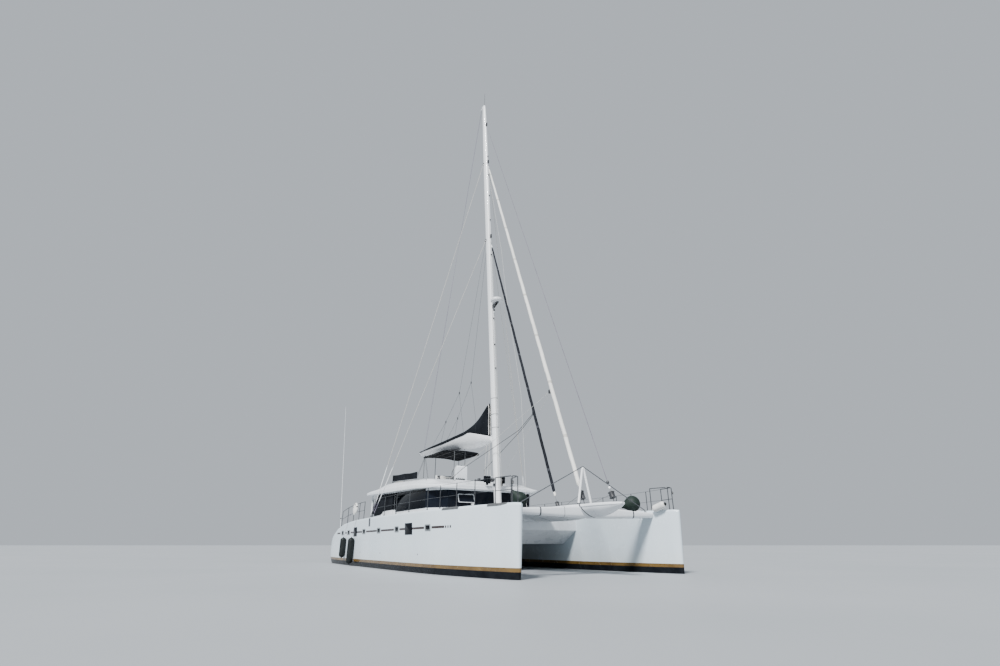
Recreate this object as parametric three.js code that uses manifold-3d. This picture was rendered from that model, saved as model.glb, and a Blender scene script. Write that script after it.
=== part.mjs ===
// Cruising sailing catamaran with a flybridge, 18.9 m long, in millimetres.
// +X points to the bow, +Y to port and +Z up, from the waterline plane amidships.
import * as THREE from 'three';
import { mergeVertices } from 'three/addons/utils/BufferGeometryUtils.js';
import Module from 'manifold-3d';

const wasm = await Module();
wasm.setup();

// Driving dimensions
const GAP = 0.3;
const STARBOARD = -1;
const PORT = 1;
const SIDES = [['starboard', STARBOARD], ['port', PORT]];
const HULL_Y = 3420;
const DECK_Z = 2140;
const TUNNEL_Z = 980;
const SOLE_Z = 1450;
const HULL_SIDE_TOP = 90;
const STEM_RAKE = 0.062;
const STEM_RAKE_FROM = 8500;
const STEM_X = 9260;
const BRIDGE_FRONT_X = 4600;
const BRIDGE_AFT_X = -7600;
const BEAM = { x0: 8080, x1: 8480 };
const LONGERON_Z = 2230;
const MAST_FOOT = [2250, 0, 2150];
const MAST_TOP = [350, 0, 27840];
const MAST_DEPTH = 210;
const MAST_BREADTH = 150;
const BOOM_AXIS_OFFSET = 330;
const SALOON = { aft: -3300, front: 1500, half: 2800, wall: 60 };
const COCKPIT = { x0: -7400, x1: SALOON.aft - SALOON.wall - GAP, half: 2150 };
const GLASS = 12;
const FLY = { x0: -5600, x1: -900, half: 2150, floor: 3640 };
const CANOPY = { x0: -4300, x1: -1400, half: 1110, z: 5450 };
const RUDDER_X = -8000;
const PROP_X = -6900;

// Hull stations: x, half breadth at deck, half breadth at waterline, deck height, bottom height
const HULL_STATIONS = [
  [-9450, 800, 640, 830, 160],
  [-9330, 860, 740, 1080, 60],
  [-8900, 930, 840, 1400, -90],
  [-8300, 970, 900, 1620, -230],
  [-7500, 1000, 940, 1830, -380],
  [-6000, 1030, 980, 2010, -560],
  [-4000, 1030, 985, 2110, -690],
  [-1000, 1030, 990, DECK_Z, -780],
  [2000, 1030, 985, DECK_Z, -800],
  [4600, 960, 905, DECK_Z, -780],
  [6300, 770, 705, DECK_Z, -740],
  [7700, 530, 460, DECK_Z, -680],
  [8700, 300, 240, DECK_Z, -590],
  [9120, 170, 130, DECK_Z, -470],
  [STEM_X, 70, 55, DECK_Z - 20, -330],
];

// Roof stations: x, half breadth, underside height, height of the edge's top, crown height
const ROOF_STATIONS = [
  [-7560, 2950, 3550, 3640, 3700],
  [-7300, 3110, 3540, 3680, 3800],
  [-6300, 3150, 3500, 3710, 4010],
  [-5400, 3150, 3470, 3715, 4130],
  [-4500, 3150, 3440, 3710, 4120],
  [-2500, 3120, 3390, 3680, 4060],
  [-1200, 3080, 3360, 3640, 4000],
  [-500, 3060, 3345, 3600, 3940],
  [300, 3000, 3310, 3540, 3820],
  [900, 2900, 3290, 3470, 3610],
  [1400, 2740, 3270, 3420, 3500],
  [1700, 2480, 3255, 3385, 3440],
  [1830, 2150, 3250, 3355, 3395],
];

// Turns a geometry into a solid and back
function solid(geometry) {
  const plain = geometry.index ? geometry : mergeVertices(geometry);
  const bare = new THREE.BufferGeometry();
  bare.setAttribute('position', plain.getAttribute('position'));
  bare.setIndex(plain.index);
  const merged = mergeVertices(bare, 1e-4);
  return new wasm.Manifold(new wasm.Mesh({
    numProp: 3,
    vertProperties: new Float32Array(merged.getAttribute('position').array),
    triVerts: new Uint32Array(merged.index.array),
  }));
}

function geometryOf(body) {
  const mesh = body.getMesh();
  const geometry = new THREE.BufferGeometry();
  geometry.setAttribute('position', new THREE.BufferAttribute(mesh.vertProperties, 3));
  geometry.setIndex(new THREE.BufferAttribute(mesh.triVerts, 1));
  geometry.computeVertexNormals();
  return geometry;
}

function join(...bodies) {
  return bodies.reduce((whole, body) => whole.add(body));
}

function cut(body, ...tools) {
  return tools.reduce((rest, tool) => rest.subtract(tool), body);
}

// Closed mesh through rings of points, each ring with as many points as the next
function loft(rings) {
  const count = rings[0].length;
  const index = [];
  for (let ring = 0; ring + 1 < rings.length; ring += 1) {
    for (let k = 0; k < count; k += 1) {
      const a = ring * count + k;
      const b = ring * count + (k + 1) % count;
      index.push(a, b, a + count, b, b + count, a + count);
    }
  }
  index.push(...capOf(rings[0], 0, true));
  index.push(...capOf(rings.at(-1), (rings.length - 1) * count, false));
  const geometry = new THREE.BufferGeometry();
  geometry.setAttribute('position', new THREE.Float32BufferAttribute(rings.flat(2), 3));
  geometry.setIndex(volumeOf(rings.flat(), index) < 0 ? index.reverse() : index);
  return solid(geometry);
}

// Triangles over the end of a loft
function capOf(ring, first, flip) {
  const points = ring.map((point) => new THREE.Vector3(...point));
  const normal = new THREE.Vector3();
  points.forEach((point, k) => normal.add(point.clone().cross(points[(k + 1) % points.length])));
  normal.normalize();
  const turn = new THREE.Quaternion().setFromUnitVectors(normal, new THREE.Vector3(0, 0, 1));
  const flat = points.map((point) => {
    const turned = point.clone().applyQuaternion(turn);
    return new THREE.Vector2(turned.x, turned.y);
  });
  const faces = THREE.ShapeUtils.triangulateShape(flat, []);
  return faces.flatMap(([a, b, c]) => (flip ? [a, c, b] : [a, b, c]).map((k) => k + first));
}

function volumeOf(points, index) {
  let volume = 0;
  for (let k = 0; k < index.length; k += 3) {
    const [a, b, c] = [0, 1, 2].map((step) => new THREE.Vector3(...points[index[k + step]]));
    volume += a.dot(b.cross(c));
  }
  return volume;
}

function box(x0, x1, y0, y1, z0, z1) {
  const geometry = new THREE.BoxGeometry(x1 - x0, y1 - y0, z1 - z0);
  geometry.translate((x0 + x1) / 2, (y0 + y1) / 2, (z0 + z1) / 2);
  return solid(geometry);
}

// Prisms with a flat outline: along Z from an XY outline, or along Y from an XZ outline
function plate(outline, z0, z1) {
  return loft([z0, z1].map((z) => outline.map(([x, y]) => [x, y, z])));
}

function slab(outline, y0, y1) {
  return loft([y0, y1].map((y) => outline.map(([x, z]) => [x, y, z])));
}

// Round bar through a list of points, with mitred corners
function bar(points, radii, sides = 10) {
  const path = points.map((point) => new THREE.Vector3(...point));
  const radiusAt = (k) => (Array.isArray(radii) ? radii[k] : radii);
  const heading = path.map((point, k) => {
    const before = path[Math.max(k - 1, 0)];
    const after = path[Math.min(k + 1, path.length - 1)];
    const into = k > 0 ? point.clone().sub(before).normalize() : null;
    const out = k + 1 < path.length ? after.clone().sub(point).normalize() : null;
    return [into ?? out, out ?? into];
  });
  let across = Math.abs(heading[0][0].z) > 0.9 ? new THREE.Vector3(1, 0, 0) : new THREE.Vector3(0, 0, 1);
  const rings = path.map((point, k) => {
    const [into, out] = heading[k];
    const normal = into.clone().add(out).normalize();
    across = across.clone().addScaledVector(into, -across.dot(into)).normalize();
    const second = into.clone().cross(across);
    return Array.from({ length: sides }, (_, step) => {
      const angle = (step + 0.5) * 2 * Math.PI / sides;
      const offset = across.clone().multiplyScalar(Math.cos(angle) * radiusAt(k));
      offset.addScaledVector(second, Math.sin(angle) * radiusAt(k));
      const slide = -offset.dot(normal) / into.dot(normal);
      return point.clone().add(offset).addScaledVector(into, slide).toArray();
    });
  });
  return loft(rings);
}

// Copy of a starboard solid for either side of the centre plane
function onSide(body, side) {
  if (side === STARBOARD) {
    return body;
  }
  const geometry = geometryOf(body);
  geometry.scale(1, -1, 1);
  geometry.setIndex(Array.from(geometry.index.array).reverse());
  return solid(geometry);
}

function between(table, x, column) {
  const next = Math.max(1, table.findIndex((row, k) => k > 0 && row[0] >= x));
  const [low, high] = [table[next - 1], table[next]];
  const share = (x - low[0]) / (high[0] - low[0]);
  return low[column] + share * (high[column] - low[column]);
}

function mastPoint(z) {
  const share = (z - MAST_FOOT[2]) / (MAST_TOP[2] - MAST_FOOT[2]);
  return MAST_FOOT.map((start, k) => start + share * (MAST_TOP[k] - start));
}

// Materials
const gelcoat = new THREE.MeshStandardMaterial({ color: 0xe8ecee, roughness: 0.25 });
const antifoul = new THREE.MeshStandardMaterial({ color: 0x15171a, roughness: 0.7 });
const metal = new THREE.MeshStandardMaterial({ color: 0xb9bdc0, roughness: 0.3, metalness: 1 });
const bronze = new THREE.MeshStandardMaterial({ color: 0x9a7b45, roughness: 0.4, metalness: 1 });
const glazing = new THREE.MeshStandardMaterial({ color: 0x10151b, roughness: 0.08 });
const darkCloth = new THREE.MeshStandardMaterial({ color: 0x1b1f25, roughness: 0.9 });
const whiteCloth = new THREE.MeshStandardMaterial({ color: 0xe6e4dc, roughness: 0.85 });
const net = new THREE.MeshStandardMaterial({ color: 0x8b9299, roughness: 0.9 });
const darkPlastic = new THREE.MeshStandardMaterial({ color: 0x17191c, roughness: 0.5 });
const woodTone = new THREE.MeshStandardMaterial({ color: 0x7a5234, roughness: 0.5 });
const seatCloth = new THREE.MeshStandardMaterial({ color: 0xc9c5ba, roughness: 0.9 });

const boat = new THREE.Group();

function place(name, body, material) {
  const mesh = new THREE.Mesh(geometryOf(body), material);
  mesh.name = name;
  boat.add(mesh);
}

// Starboard hull's outer form, grown by a margin where another piece is cut against it
function hullForm(margin = 0) {
  return loft(HULL_STATIONS.map(([x, deckHalf, waterHalf, deckZ, bottomZ]) => {
    const bd = deckHalf + margin;
    const bw = waterHalf + margin;
    const low = bottomZ - margin;
    const waterZ = Math.max(40, low + 60);
    const rise = (share) => low + share * (waterZ - low);
    const half = [
      [0, low], [0.5 * bw, rise(0.1)], [0.84 * bw, rise(0.42)], [bw, rise(0.9)],
      [bw + 0.6 * (bd - bw), waterZ + 0.22 * (deckZ - waterZ)],
      [bd, waterZ + 0.45 * (deckZ - waterZ)],
      [bd, deckZ - HULL_SIDE_TOP + margin], [bd - 30, deckZ - 25 + margin], [bd - 68, deckZ + margin],
    ];
    const other = half.slice(1).reverse().map(([y, z]) => [-y, z]);
    const lean = STEM_RAKE * THREE.MathUtils.clamp((x - STEM_RAKE_FROM) / (STEM_X - STEM_RAKE_FROM), 0, 1);
    const end = x === STEM_X ? margin : 0;
    return [...half, ...other].map(([y, z]) => [x + end + lean * (z - 210), y - HULL_Y, z]);
  }));
}

// Stern steps cut into each hull: forward end of each tread and its height
const STERN_STEPS = [[-8860, 470], [-8520, 740], [-8180, 1010], [-7840, 1280], [-7480, 1550]];
const STEP_HALF = 640;
const STOCK_R = 45;
const STOCK_BORE_R = 45.7;
const ROUND_SIDES = 24;
const CLEAT_PAD = { x: 7000, y: -3790, long: 300, wide: 140, top: DECK_Z + 12 };

// Each hull has a raised pad for the mooring cleat, inboard of the guard rail
function hull() {
  const steps = STERN_STEPS.map(([x1, z]) => (
    box(-9700, x1, -HULL_Y - STEP_HALF, -HULL_Y + STEP_HALF, z, DECK_Z + 200)
  ));
  const bore = bar([[RUDDER_X, -HULL_Y, -1000], [RUDDER_X, -HULL_Y, 0]], STOCK_BORE_R, ROUND_SIDES);
  const { x, y, long, wide, top } = CLEAT_PAD;
  const pad = box(x - long / 2, x + long / 2, y - wide / 2, y + wide / 2, DECK_Z - 20, top);
  return cut(join(hullForm(), pad), ...steps, bore);
}

const bothHulls = (margin) => SIDES.map(([, side]) => onSide(hullForm(margin), side));

// Low keel under each hull: chord's fore and aft ends, half thickness, height
const KEEL_SECTIONS = [[1500, -2200, 190, -500], [1300, -2000, 165, -1100], [950, -1800, 120, -1750]];

function foil(sections) {
  return loft(sections.map(([nose, tail, half, z, y = -HULL_Y]) => {
    const chord = nose - tail;
    const shape = [[0, 0], [0.06, 0.6], [0.22, 1], [0.45, 0.95], [0.75, 0.5], [1, 0.06]];
    const skin = (side) => ([along, wide]) => [nose - along * chord, y + side * wide * half, z];
    return [...shape.map(skin(PORT)), ...shape.slice(1).reverse().map(skin(STARBOARD))];
  }));
}

function keel() {
  return cut(foil(KEEL_SECTIONS), hullForm(GAP));
}

// Rudder: blade with a round stock that runs up into the hull's bore
const RUDDER_SECTIONS = [[-7800, -8420, 46, -470], [-7840, -8380, 40, -1000], [-7880, -8300, 26, -1560]];

function rudder() {
  const stock = bar([[RUDDER_X, -HULL_Y, -620], [RUDDER_X, -HULL_Y, -10]], STOCK_R, ROUND_SIDES);
  return join(foil(RUDDER_SECTIONS), stock);
}

// Propeller shaft under each hull, sloping down aft to a bracket ahead of the propeller
const SHAFT_TOP = [-4700, -HULL_Y, -640];
const SHAFT_END = [PROP_X, -HULL_Y, -960];
const SHAFT_R = 26;
const BARREL_R = 52;
const PROP_R = 270;
const shaftHeading = new THREE.Vector3(...SHAFT_END).sub(new THREE.Vector3(...SHAFT_TOP)).normalize();
const alongShaft = (step) => new THREE.Vector3(...SHAFT_END).addScaledVector(shaftHeading, step).toArray();

function shaft() {
  const strut = loft([[-400, 24, 70], [-960, 20, 60]].map(([z, half, chord]) => {
    const x = PROP_X + 130;
    return [[x + chord, -HULL_Y, z], [x, -HULL_Y + half, z], [x - chord, -HULL_Y, z], [x, -HULL_Y - half, z]];
  }));
  const rod = bar([SHAFT_TOP, alongShaft(-2)], SHAFT_R, 12);
  const barrel = bar([alongShaft(-260), alongShaft(-2)], BARREL_R, 14);
  return cut(join(rod, barrel, strut), hullForm(GAP));
}

function propeller() {
  const hub = bar([alongShaft(-1.5), alongShaft(150), alongShaft(210)], [58, 52, 20], 14);
  const side = new THREE.Vector3(0, 1, 0);
  const upward = side.clone().cross(shaftHeading).normalize();
  const blades = [0, 1, 2].map((turn) => {
    const angle = turn * 2 * Math.PI / 3;
    const out = upward.clone().multiplyScalar(Math.cos(angle)).addScaledVector(side, Math.sin(angle));
    const round = out.clone().cross(shaftHeading);
    const rings = [[30, 40, 9], [140, 95, 8], [220, 80, 6], [PROP_R, 25, 4]].map(([r, half, thick], k) => {
      const pitch = 0.9 - 0.12 * k;
      const chord = round.clone().multiplyScalar(Math.cos(pitch));
      chord.addScaledVector(shaftHeading, Math.sin(pitch));
      const skin = chord.clone().cross(out);
      const middle = new THREE.Vector3(...alongShaft(75)).addScaledVector(out, r);
      return [[half, 0], [0, thick], [-half, 0], [0, -thick]].map(([c, s]) => (
        middle.clone().addScaledVector(chord, c).addScaledVector(skin, s).toArray()
      ));
    });
    return loft(rings);
  });
  return join(hub, ...blades);
}

// Bridgedeck: a hollow box beam between the hulls, with the cockpit well and the saloon's sole
function bridgedeck() {
  const reach = HULL_Y;
  const inboard = HULL_STATIONS.map(([x, half]) => [x, half - HULL_Y - GAP]);
  const beside = SIDES.map(([, side]) => onSide(
    plate([...inboard.map(([x, y]) => [x, y + 2 * GAP]), [STEM_X, -5000], [-9450, -5000]], 1300, 2600), side,
  ));
  const body = slab([
    [BRIDGE_AFT_X, 1150], [BRIDGE_AFT_X + 500, TUNNEL_Z], [3700, TUNNEL_Z], [BRIDGE_FRONT_X, 1500],
    [BRIDGE_FRONT_X, DECK_Z], [-6000, DECK_Z], [BRIDGE_AFT_X, 1950],
  ], -reach, reach);
  const saloonWell = box(SALOON.aft + 60, SALOON.front - 120, -2250, 2250, SOLE_Z, 3000);
  const cockpitWell = box(COCKPIT.x0, COCKPIT.x1, -COCKPIT.half, COCKPIT.half, SOLE_Z, 3000);
  const gangway = box(BRIDGE_AFT_X - 100, COCKPIT.x0 + 10, -COCKPIT.half, -1250, SOLE_Z + 150, 3000);
  const doorway = box(COCKPIT.x1 - 10, SALOON.aft + 70, -700, 700, SOLE_Z, 3000);
  const lockers = SIDES.map(([, side]) => box(
    LOCKER.x0, LOCKER.x1, side * LOCKER.y - LOCKER.half, side * LOCKER.y + LOCKER.half, 1560, 2600,
  ));
  const rims = SIDES.map(([, side]) => box(
    LOCKER.x0 - 30, LOCKER.x1 + 30, side * LOCKER.y - LOCKER.half - 30, side * LOCKER.y + LOCKER.half + 30,
    DECK_Z - 30, 2600,
  ));
  const deck = cut(body, saloonWell, cockpitWell, gangway, doorway, ...lockers, ...rims, ...beside);
  const seats = SIDES.map(([, side]) => onSide(cockpitSide(), side));
  return cut(join(deck, ...seats), ...bothHulls(GAP), overWalls());
}

// Moulded side deck beside the cockpit, with a lip and two posts that carry the roof
const SIDE_DECK = { x0: -7050, z: 2200, lip: 2790, outer: 2920 };
const LIP_TOP = [[-7050, 2340], [-5000, 2400], [-4750, 2560], [COCKPIT.x1 - GAP, 2570]];
const ROOF_POSTS = [-6950, -4920];
const POST_HALF = 32;

function cockpitSide() {
  const x1 = COCKPIT.x1 - GAP;
  const seat = box(SIDE_DECK.x0, x1, -SIDE_DECK.outer, -COCKPIT.half, 1700, SIDE_DECK.z);
  const lipOutline = [[SIDE_DECK.x0, 2100], [x1, 2100], ...LIP_TOP.toReversed()];
  const lip = slab(lipOutline, -SIDE_DECK.outer, -SIDE_DECK.lip);
  const y = -(SIDE_DECK.lip + SIDE_DECK.outer) / 2;
  const posts = ROOF_POSTS.map((x) => (
    box(x - POST_HALF, x + POST_HALF, y - POST_HALF, y + POST_HALF, SIDE_DECK.z, WALL_TOP)
  ));
  return join(seat, lip, ...posts);
}

// Dark curtain between the roof and the lip, from the saloon's aft wall past both posts
const CURTAIN_THICK = 6;
function cockpitCurtain() {
  const front = COCKPIT.x1 - 40;
  const panel = slab(
    [[front, 2580], [-4720, 2572], [-4960, 2425], [-6900, 2365], [-5750, WALL_TOP], [front, WALL_TOP]],
    -SIDE_DECK.outer - CURTAIN_THICK, -SIDE_DECK.outer - GAP,
  );
  return cut(panel, overWalls());
}

// Foredeck lockers with lids hinged on their aft edge
const LOCKER = { x0: 3000, x1: 4200, y: 1250, half: 600 };
const LID_CLEAR = 6;

function lockerLid(side) {
  const y0 = side * LOCKER.y - LOCKER.half - 30 + LID_CLEAR;
  const y1 = side * LOCKER.y + LOCKER.half + 30 - LID_CLEAR;
  return box(LOCKER.x0 - 30 + LID_CLEAR, LOCKER.x1 + 30 - LID_CLEAR, y0, y1, DECK_Z - 30 + GAP, DECK_Z + 12);
}

// Crossbeam, arched to the middle: distance from the centre plane, underside, top
const BEAM_STATIONS = [
  [0, 1800, 2170],
  [420, 1800, 2170],
  [1050, 1805, 2145],
  [2400, 1845, 2075],
  [HULL_Y, 1880, 2040],
];

function beamForm(margin = 0) {
  const round = 60;
  const x0 = BEAM.x0 - margin;
  const x1 = BEAM.x1 + margin;
  const toPort = BEAM_STATIONS.map(([y, low, top]) => [y, low - margin, top + margin]);
  const toStarboard = toPort.slice(1).reverse().map(([y, low, top]) => [-y, low, top]);
  return loft([...toStarboard, ...toPort].map(([y, z0, z1]) => [
    [x0, y, z0 + round], [x0 + round, y, z0], [x1 - 2 * round, y, z0], [x1, y, z0 + 1.6 * round],
    [x1, y, z1 - round], [x1 - round, y, z1], [x0 + round, y, z1], [x0, y, z1 - round],
  ]));
}

const crossbeam = () => cut(beamForm(), ...bothHulls(GAP));
const longeron = () => cut(longeronForm(), beamForm(GAP));

// Central longeron, a shallow vee that ends in a small raised prow: x, half breadth, top, keel height
const LONGERON_STATIONS = [
  [BRIDGE_FRONT_X + GAP, 900, 2190, 1800],
  [6400, 850, 2200, 1750],
  [7600, 720, 2215, 1750],
  [8080, 560, LONGERON_Z, 1790],
  [8600, 430, LONGERON_Z + 5, 1805],
  [9150, 370, LONGERON_Z + 10, 1850],
  [9450, 300, LONGERON_Z + 12, 1930],
  [9780, 200, LONGERON_Z + 12, 2045],
  [10050, 95, LONGERON_Z + 5, 2130],
  [10165, 28, LONGERON_Z - 10, 2185],
];
const GUNWALE = { lip: 22, deep: 90, round: 30 };

// The section has full sides under a gunwale that stands a little proud
function longeronForm(margin = 0) {
  return loft(LONGERON_STATIONS.map(([x, half, top, low]) => {
    const wide = half + margin;
    const deep = top - low;
    const round = Math.min(GUNWALE.round, half * 0.4, deep * 0.3);
    const band = Math.min(GUNWALE.deep, deep * 0.6);
    const side = wide - Math.min(GUNWALE.lip, half * 0.1);
    const port = [
      [side * 0.42, low + 0.16 * (deep - band) - margin], [side * 0.84, low + 0.6 * (deep - band) - margin],
      [side, top - band], [wide, top - band * 0.85], [wide, top - round], [wide - round, top + margin],
    ];
    const starboard = port.toReversed().map(([y, z]) => [-y, z]);
    return [[0, low - margin], ...port, ...starboard].map(([y, z]) => [x, y, z]);
  }));
}

// Striker: white frame on the longeron, with a stay from one beam end to the other over its top
const STRIKER = { x: 8250, top: 3500, saddle: 40, footHalf: 300, stayFoot: 2900, r: 34 };

function strikerFrame() {
  const foot = LONGERON_Z - 20;
  const legs = [-1, 1].map((side) => bar(
    [[STRIKER.x, side * STRIKER.footHalf, foot + 10], [STRIKER.x, side * 20, STRIKER.top]], STRIKER.r, 10,
  ));
  const pads = [-1, 1].map((side) => box(
    STRIKER.x - 60, STRIKER.x + 60,
    side * STRIKER.footHalf - 60, side * STRIKER.footHalf + 60, foot, foot + 46,
  ));
  const cap = box(STRIKER.x - 30, STRIKER.x + 30, -15, 15, STRIKER.top - 60, STRIKER.top + STRIKER.saddle);
  return cut(join(...legs, ...pads, cap), longeronForm(GAP));
}

function strikerStay() {
  const r = 11;
  const over = STRIKER.top + STRIKER.saddle + 20;
  const foot = between(BEAM_STATIONS, STRIKER.stayFoot, 2);
  const end = foot + 75;
  const wire = bar([
    [STRIKER.x, -STRIKER.stayFoot, end], [STRIKER.x, 0, over], [STRIKER.x, STRIKER.stayFoot, end],
  ], r, 8);
  const toggles = [-1, 1].map((side) => side * STRIKER.stayFoot).map((y) => (
    box(STRIKER.x - 30, STRIKER.x + 30, y - 40, y + 40, foot - 30, end + 20)
  ));
  return cut(join(wire, ...toggles), beamForm(GAP));
}

function trampoline(side) {
  const inner = HULL_Y - between(HULL_STATIONS, BRIDGE_FRONT_X, 1);
  const outline = [
    [BRIDGE_FRONT_X + GAP, -300], [BEAM.x0 - GAP, -300],
    [BEAM.x0 - GAP, -HULL_Y], [BRIDGE_FRONT_X + GAP, -inner - 400],
  ];
  return cut(onSide(cut(plate(outline, 2068, 2086), hullForm(GAP)), side), longeronForm(GAP));
}

// Saloon house: wall outlines in plan, with the windows cut through
function roofForm(drop = 0, rise = 0) {
  return loft(ROOF_STATIONS.map(([x, half, low, edgeTop, crownTop]) => {
    const edge = edgeTop + rise;
    const crown = crownTop + rise;
    const side = [
      [half - 60, low], [half, low + 0.4 * (edge - low)],
      [half, edge - 0.2 * (edge - low)], [half - 50, edge],
      [half * 0.88, edge + 0.5 * (crown - edge)], [half * 0.79, crown], [half * 0.72, crown],
    ];
    const other = side.slice().reverse().map(([y, z]) => [-y, z]);
    return [...side, ...other].map(([y, z]) => [x, y, z - drop]);
  }));
}

// Everything from the roof's underside up, which the walls are cut against
const overWalls = () => roofForm(GAP, 900);
const WALL_TOP = 3700;
const SILL_Z = 2520;
const HEAD_Z = 3190;
const WALL_BASE = DECK_Z + GAP;
const SIDE_WINDOWS = [[-3100, -1950], [-1850, -700], [-600, 450]];
const CORNER = { x: 620, y: SALOON.half };
const FRONT_CORNER = { x: SALOON.front, y: 2150 };

function wallSide() {
  const wall = box(SALOON.aft, CORNER.x, -SALOON.half, -SALOON.half + SALOON.wall, WALL_BASE, WALL_TOP);
  const windows = SIDE_WINDOWS.map(([x0, x1]) => box(x0, x1, -3000, -2600, SILL_Z, HEAD_Z));
  return cut(wall, ...windows, overWalls());
}

// The front wall turns both corners, so it is one band in plan with its inside cut away
function wallFront() {
  const plan = (inset) => [
    [CORNER.x + GAP, -CORNER.y + inset], [FRONT_CORNER.x - inset, -FRONT_CORNER.y + inset * 0.4],
    [FRONT_CORNER.x - inset, FRONT_CORNER.y - inset * 0.4], [CORNER.x + GAP, CORNER.y - inset],
  ];
  const outer = plate(plan(0), WALL_BASE, WALL_TOP);
  const within = CORNER.y - SALOON.wall;
  const inner = plate([[0, -within], ...plan(SALOON.wall), [0, within]], 0, 5000);
  const centres = [-1450, 0, 1450];
  const front = centres.map((y) => box(1300, 1700, y - 620, y + 620, SILL_Z, HEAD_Z - 30));
  const corners = SIDES.map(([, side]) => plate([
    [CORNER.x + 110, side * 3000], [FRONT_CORNER.x - 130, side * 3000],
    [FRONT_CORNER.x - 130, side * 2000], [CORNER.x + 110, side * 2000],
  ], SILL_Z, HEAD_Z - 20));
  return cut(outer, inner, ...front, ...corners, overWalls());
}

const DOOR = { y0: -700, y1: 700, top: 3300, lap: 40, leaf: 40 };
const DOOR_TRAVEL = 1380;
function wallAft() {
  const x0 = COCKPIT.x1;
  const wall = box(x0, SALOON.aft - GAP, -SALOON.half, SALOON.half, WALL_BASE, WALL_TOP);
  const opening = box(x0 - 50, SALOON.aft + 50, DOOR.y0, DOOR.y1, 0, DOOR.top);
  const windows = SIDES.map(([, side]) => box(
    x0 - 50, SALOON.aft + 50, side * 1750 - 800, side * 1750 + 800, SILL_Z, HEAD_Z + 60,
  ));
  const track = box(
    x0 - DOOR.leaf - 15, x0 + 10, DOOR.y0 - DOOR.lap, DOOR.y1 + DOOR.lap + DOOR_TRAVEL,
    DOOR.top + DOOR.lap + 0.5, DOOR.top + DOOR.lap + 40,
  );
  return cut(join(wall, track), opening, ...windows, overWalls());
}

function glassSide() {
  const y1 = -SALOON.half - GAP;
  return box(SALOON.aft + 60, CORNER.x - 40, y1 - GLASS, y1, SILL_Z - 50, HEAD_Z + 40);
}

function glassFront() {
  const plan = (out) => [
    [CORNER.x - 30 + out, -CORNER.y - out], [CORNER.x, -CORNER.y - out],
    [FRONT_CORNER.x + out, -FRONT_CORNER.y - out * 0.4], [FRONT_CORNER.x + out, FRONT_CORNER.y + out * 0.4],
    [CORNER.x, CORNER.y + out], [CORNER.x - 30 + out, CORNER.y + out],
  ];
  const outer = plate(plan(GLASS + 1), SILL_Z - 50, HEAD_Z + 20);
  const inner = plate([[0, -CORNER.y - 1], ...plan(1).slice(1, -1), [0, CORNER.y + 1]], 0, 5000);
  return cut(outer, inner);
}

// Sliding door behind the aft wall's opening, on the cockpit side
function saloonDoor() {
  const x1 = COCKPIT.x1 - 5;
  const x0 = x1 - DOOR.leaf;
  return box(x0, x1, DOOR.y0 - DOOR.lap, DOOR.y1 + DOOR.lap, SOLE_Z + 6, DOOR.top + DOOR.lap);
}

function coachroof() {
  const well = box(FLY.x0, FLY.x1, -FLY.half, FLY.half, FLY.floor, 4600);
  const hatch = box(FLY.x0 + 20, FLY.x0 + 1100, 1250, FLY.half - 20, 3000, 4600);
  return cut(roofForm(), well, hatch);
}

// Flybridge pieces
const CONSOLE = { x0: -1500, x1: -1080, y: -160, half: 290, top: 4690 };
function helmConsole() {
  const base = FLY.floor + GAP;
  const body = slab([
    [CONSOLE.x0 + 60, base], [CONSOLE.x1, base], [CONSOLE.x1 - 40, CONSOLE.top - 60],
    [CONSOLE.x1 - 100, CONSOLE.top], [CONSOLE.x0, CONSOLE.top - 140], [CONSOLE.x0, CONSOLE.top - 260],
  ], CONSOLE.y - CONSOLE.half, CONSOLE.y + CONSOLE.half);
  const hub = bar([[CONSOLE.x0 + 40, CONSOLE.y, WHEEL.z], [WHEEL.x + 30, CONSOLE.y, WHEEL.z]], 40, 12);
  return join(body, hub);
}

const WHEEL = { x: -1610, z: 4330, r: 330 };
function helmWheel() {
  const rim = new THREE.TorusGeometry(WHEEL.r, 16, 8, 28);
  rim.rotateY(Math.PI / 2);
  rim.translate(WHEEL.x, CONSOLE.y, WHEEL.z);
  const centre = [WHEEL.x, CONSOLE.y, WHEEL.z];
  const hub = bar([[WHEEL.x - 25, CONSOLE.y, WHEEL.z], [WHEEL.x + 29.5, CONSOLE.y, WHEEL.z]], 45, 12);
  const spokes = [0, 1, 2, 3, 4].map((turn) => {
    const angle = turn * 2 * Math.PI / 5;
    const tip = [WHEEL.x, CONSOLE.y + WHEEL.r * Math.sin(angle), WHEEL.z + WHEEL.r * Math.cos(angle)];
    return bar([centre, tip], 10, 8);
  });
  return join(solid(rim), hub, ...spokes);
}

function helmSeat() {
  const base = FLY.floor + GAP;
  return slab([
    [-3050, base], [-2450, base], [-2380, 4080], [-2900, 4080], [-2960, 4390], [-3080, 4390],
  ], CONSOLE.y - 620, CONSOLE.y + 620);
}

function flySettee() {
  const base = FLY.floor + GAP;
  const bench = box(FLY.x0 + GAP, FLY.x0 + 640, -FLY.half + GAP, 1200, base, base + 400);
  const wing = box(FLY.x0 + GAP, -3700, -FLY.half + GAP, -FLY.half + 640, base, base + 400);
  const back = box(FLY.x0 + GAP, FLY.x0 + 120, -FLY.half + GAP, 1200, base, base + 620);
  return join(bench, wing, back);
}

// Cloth panels along the flybridge's edges, each on three posts
function flyDodger() {
  const topZ = 4420;
  const y = -2380;
  const bars = [-5150, -3400, -1620].map((x, k) => bar([[x, y, 3500], [x, y, topZ - 60 * k]], 14, 8));
  const cloth = slab([[-5180, 3900], [-1590, 3830], [-1590, topZ - 140], [-5180, topZ + 10]], y - 20, y + 20);
  return cut(join(cloth, ...bars), roofForm(-GAP));
}

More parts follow.
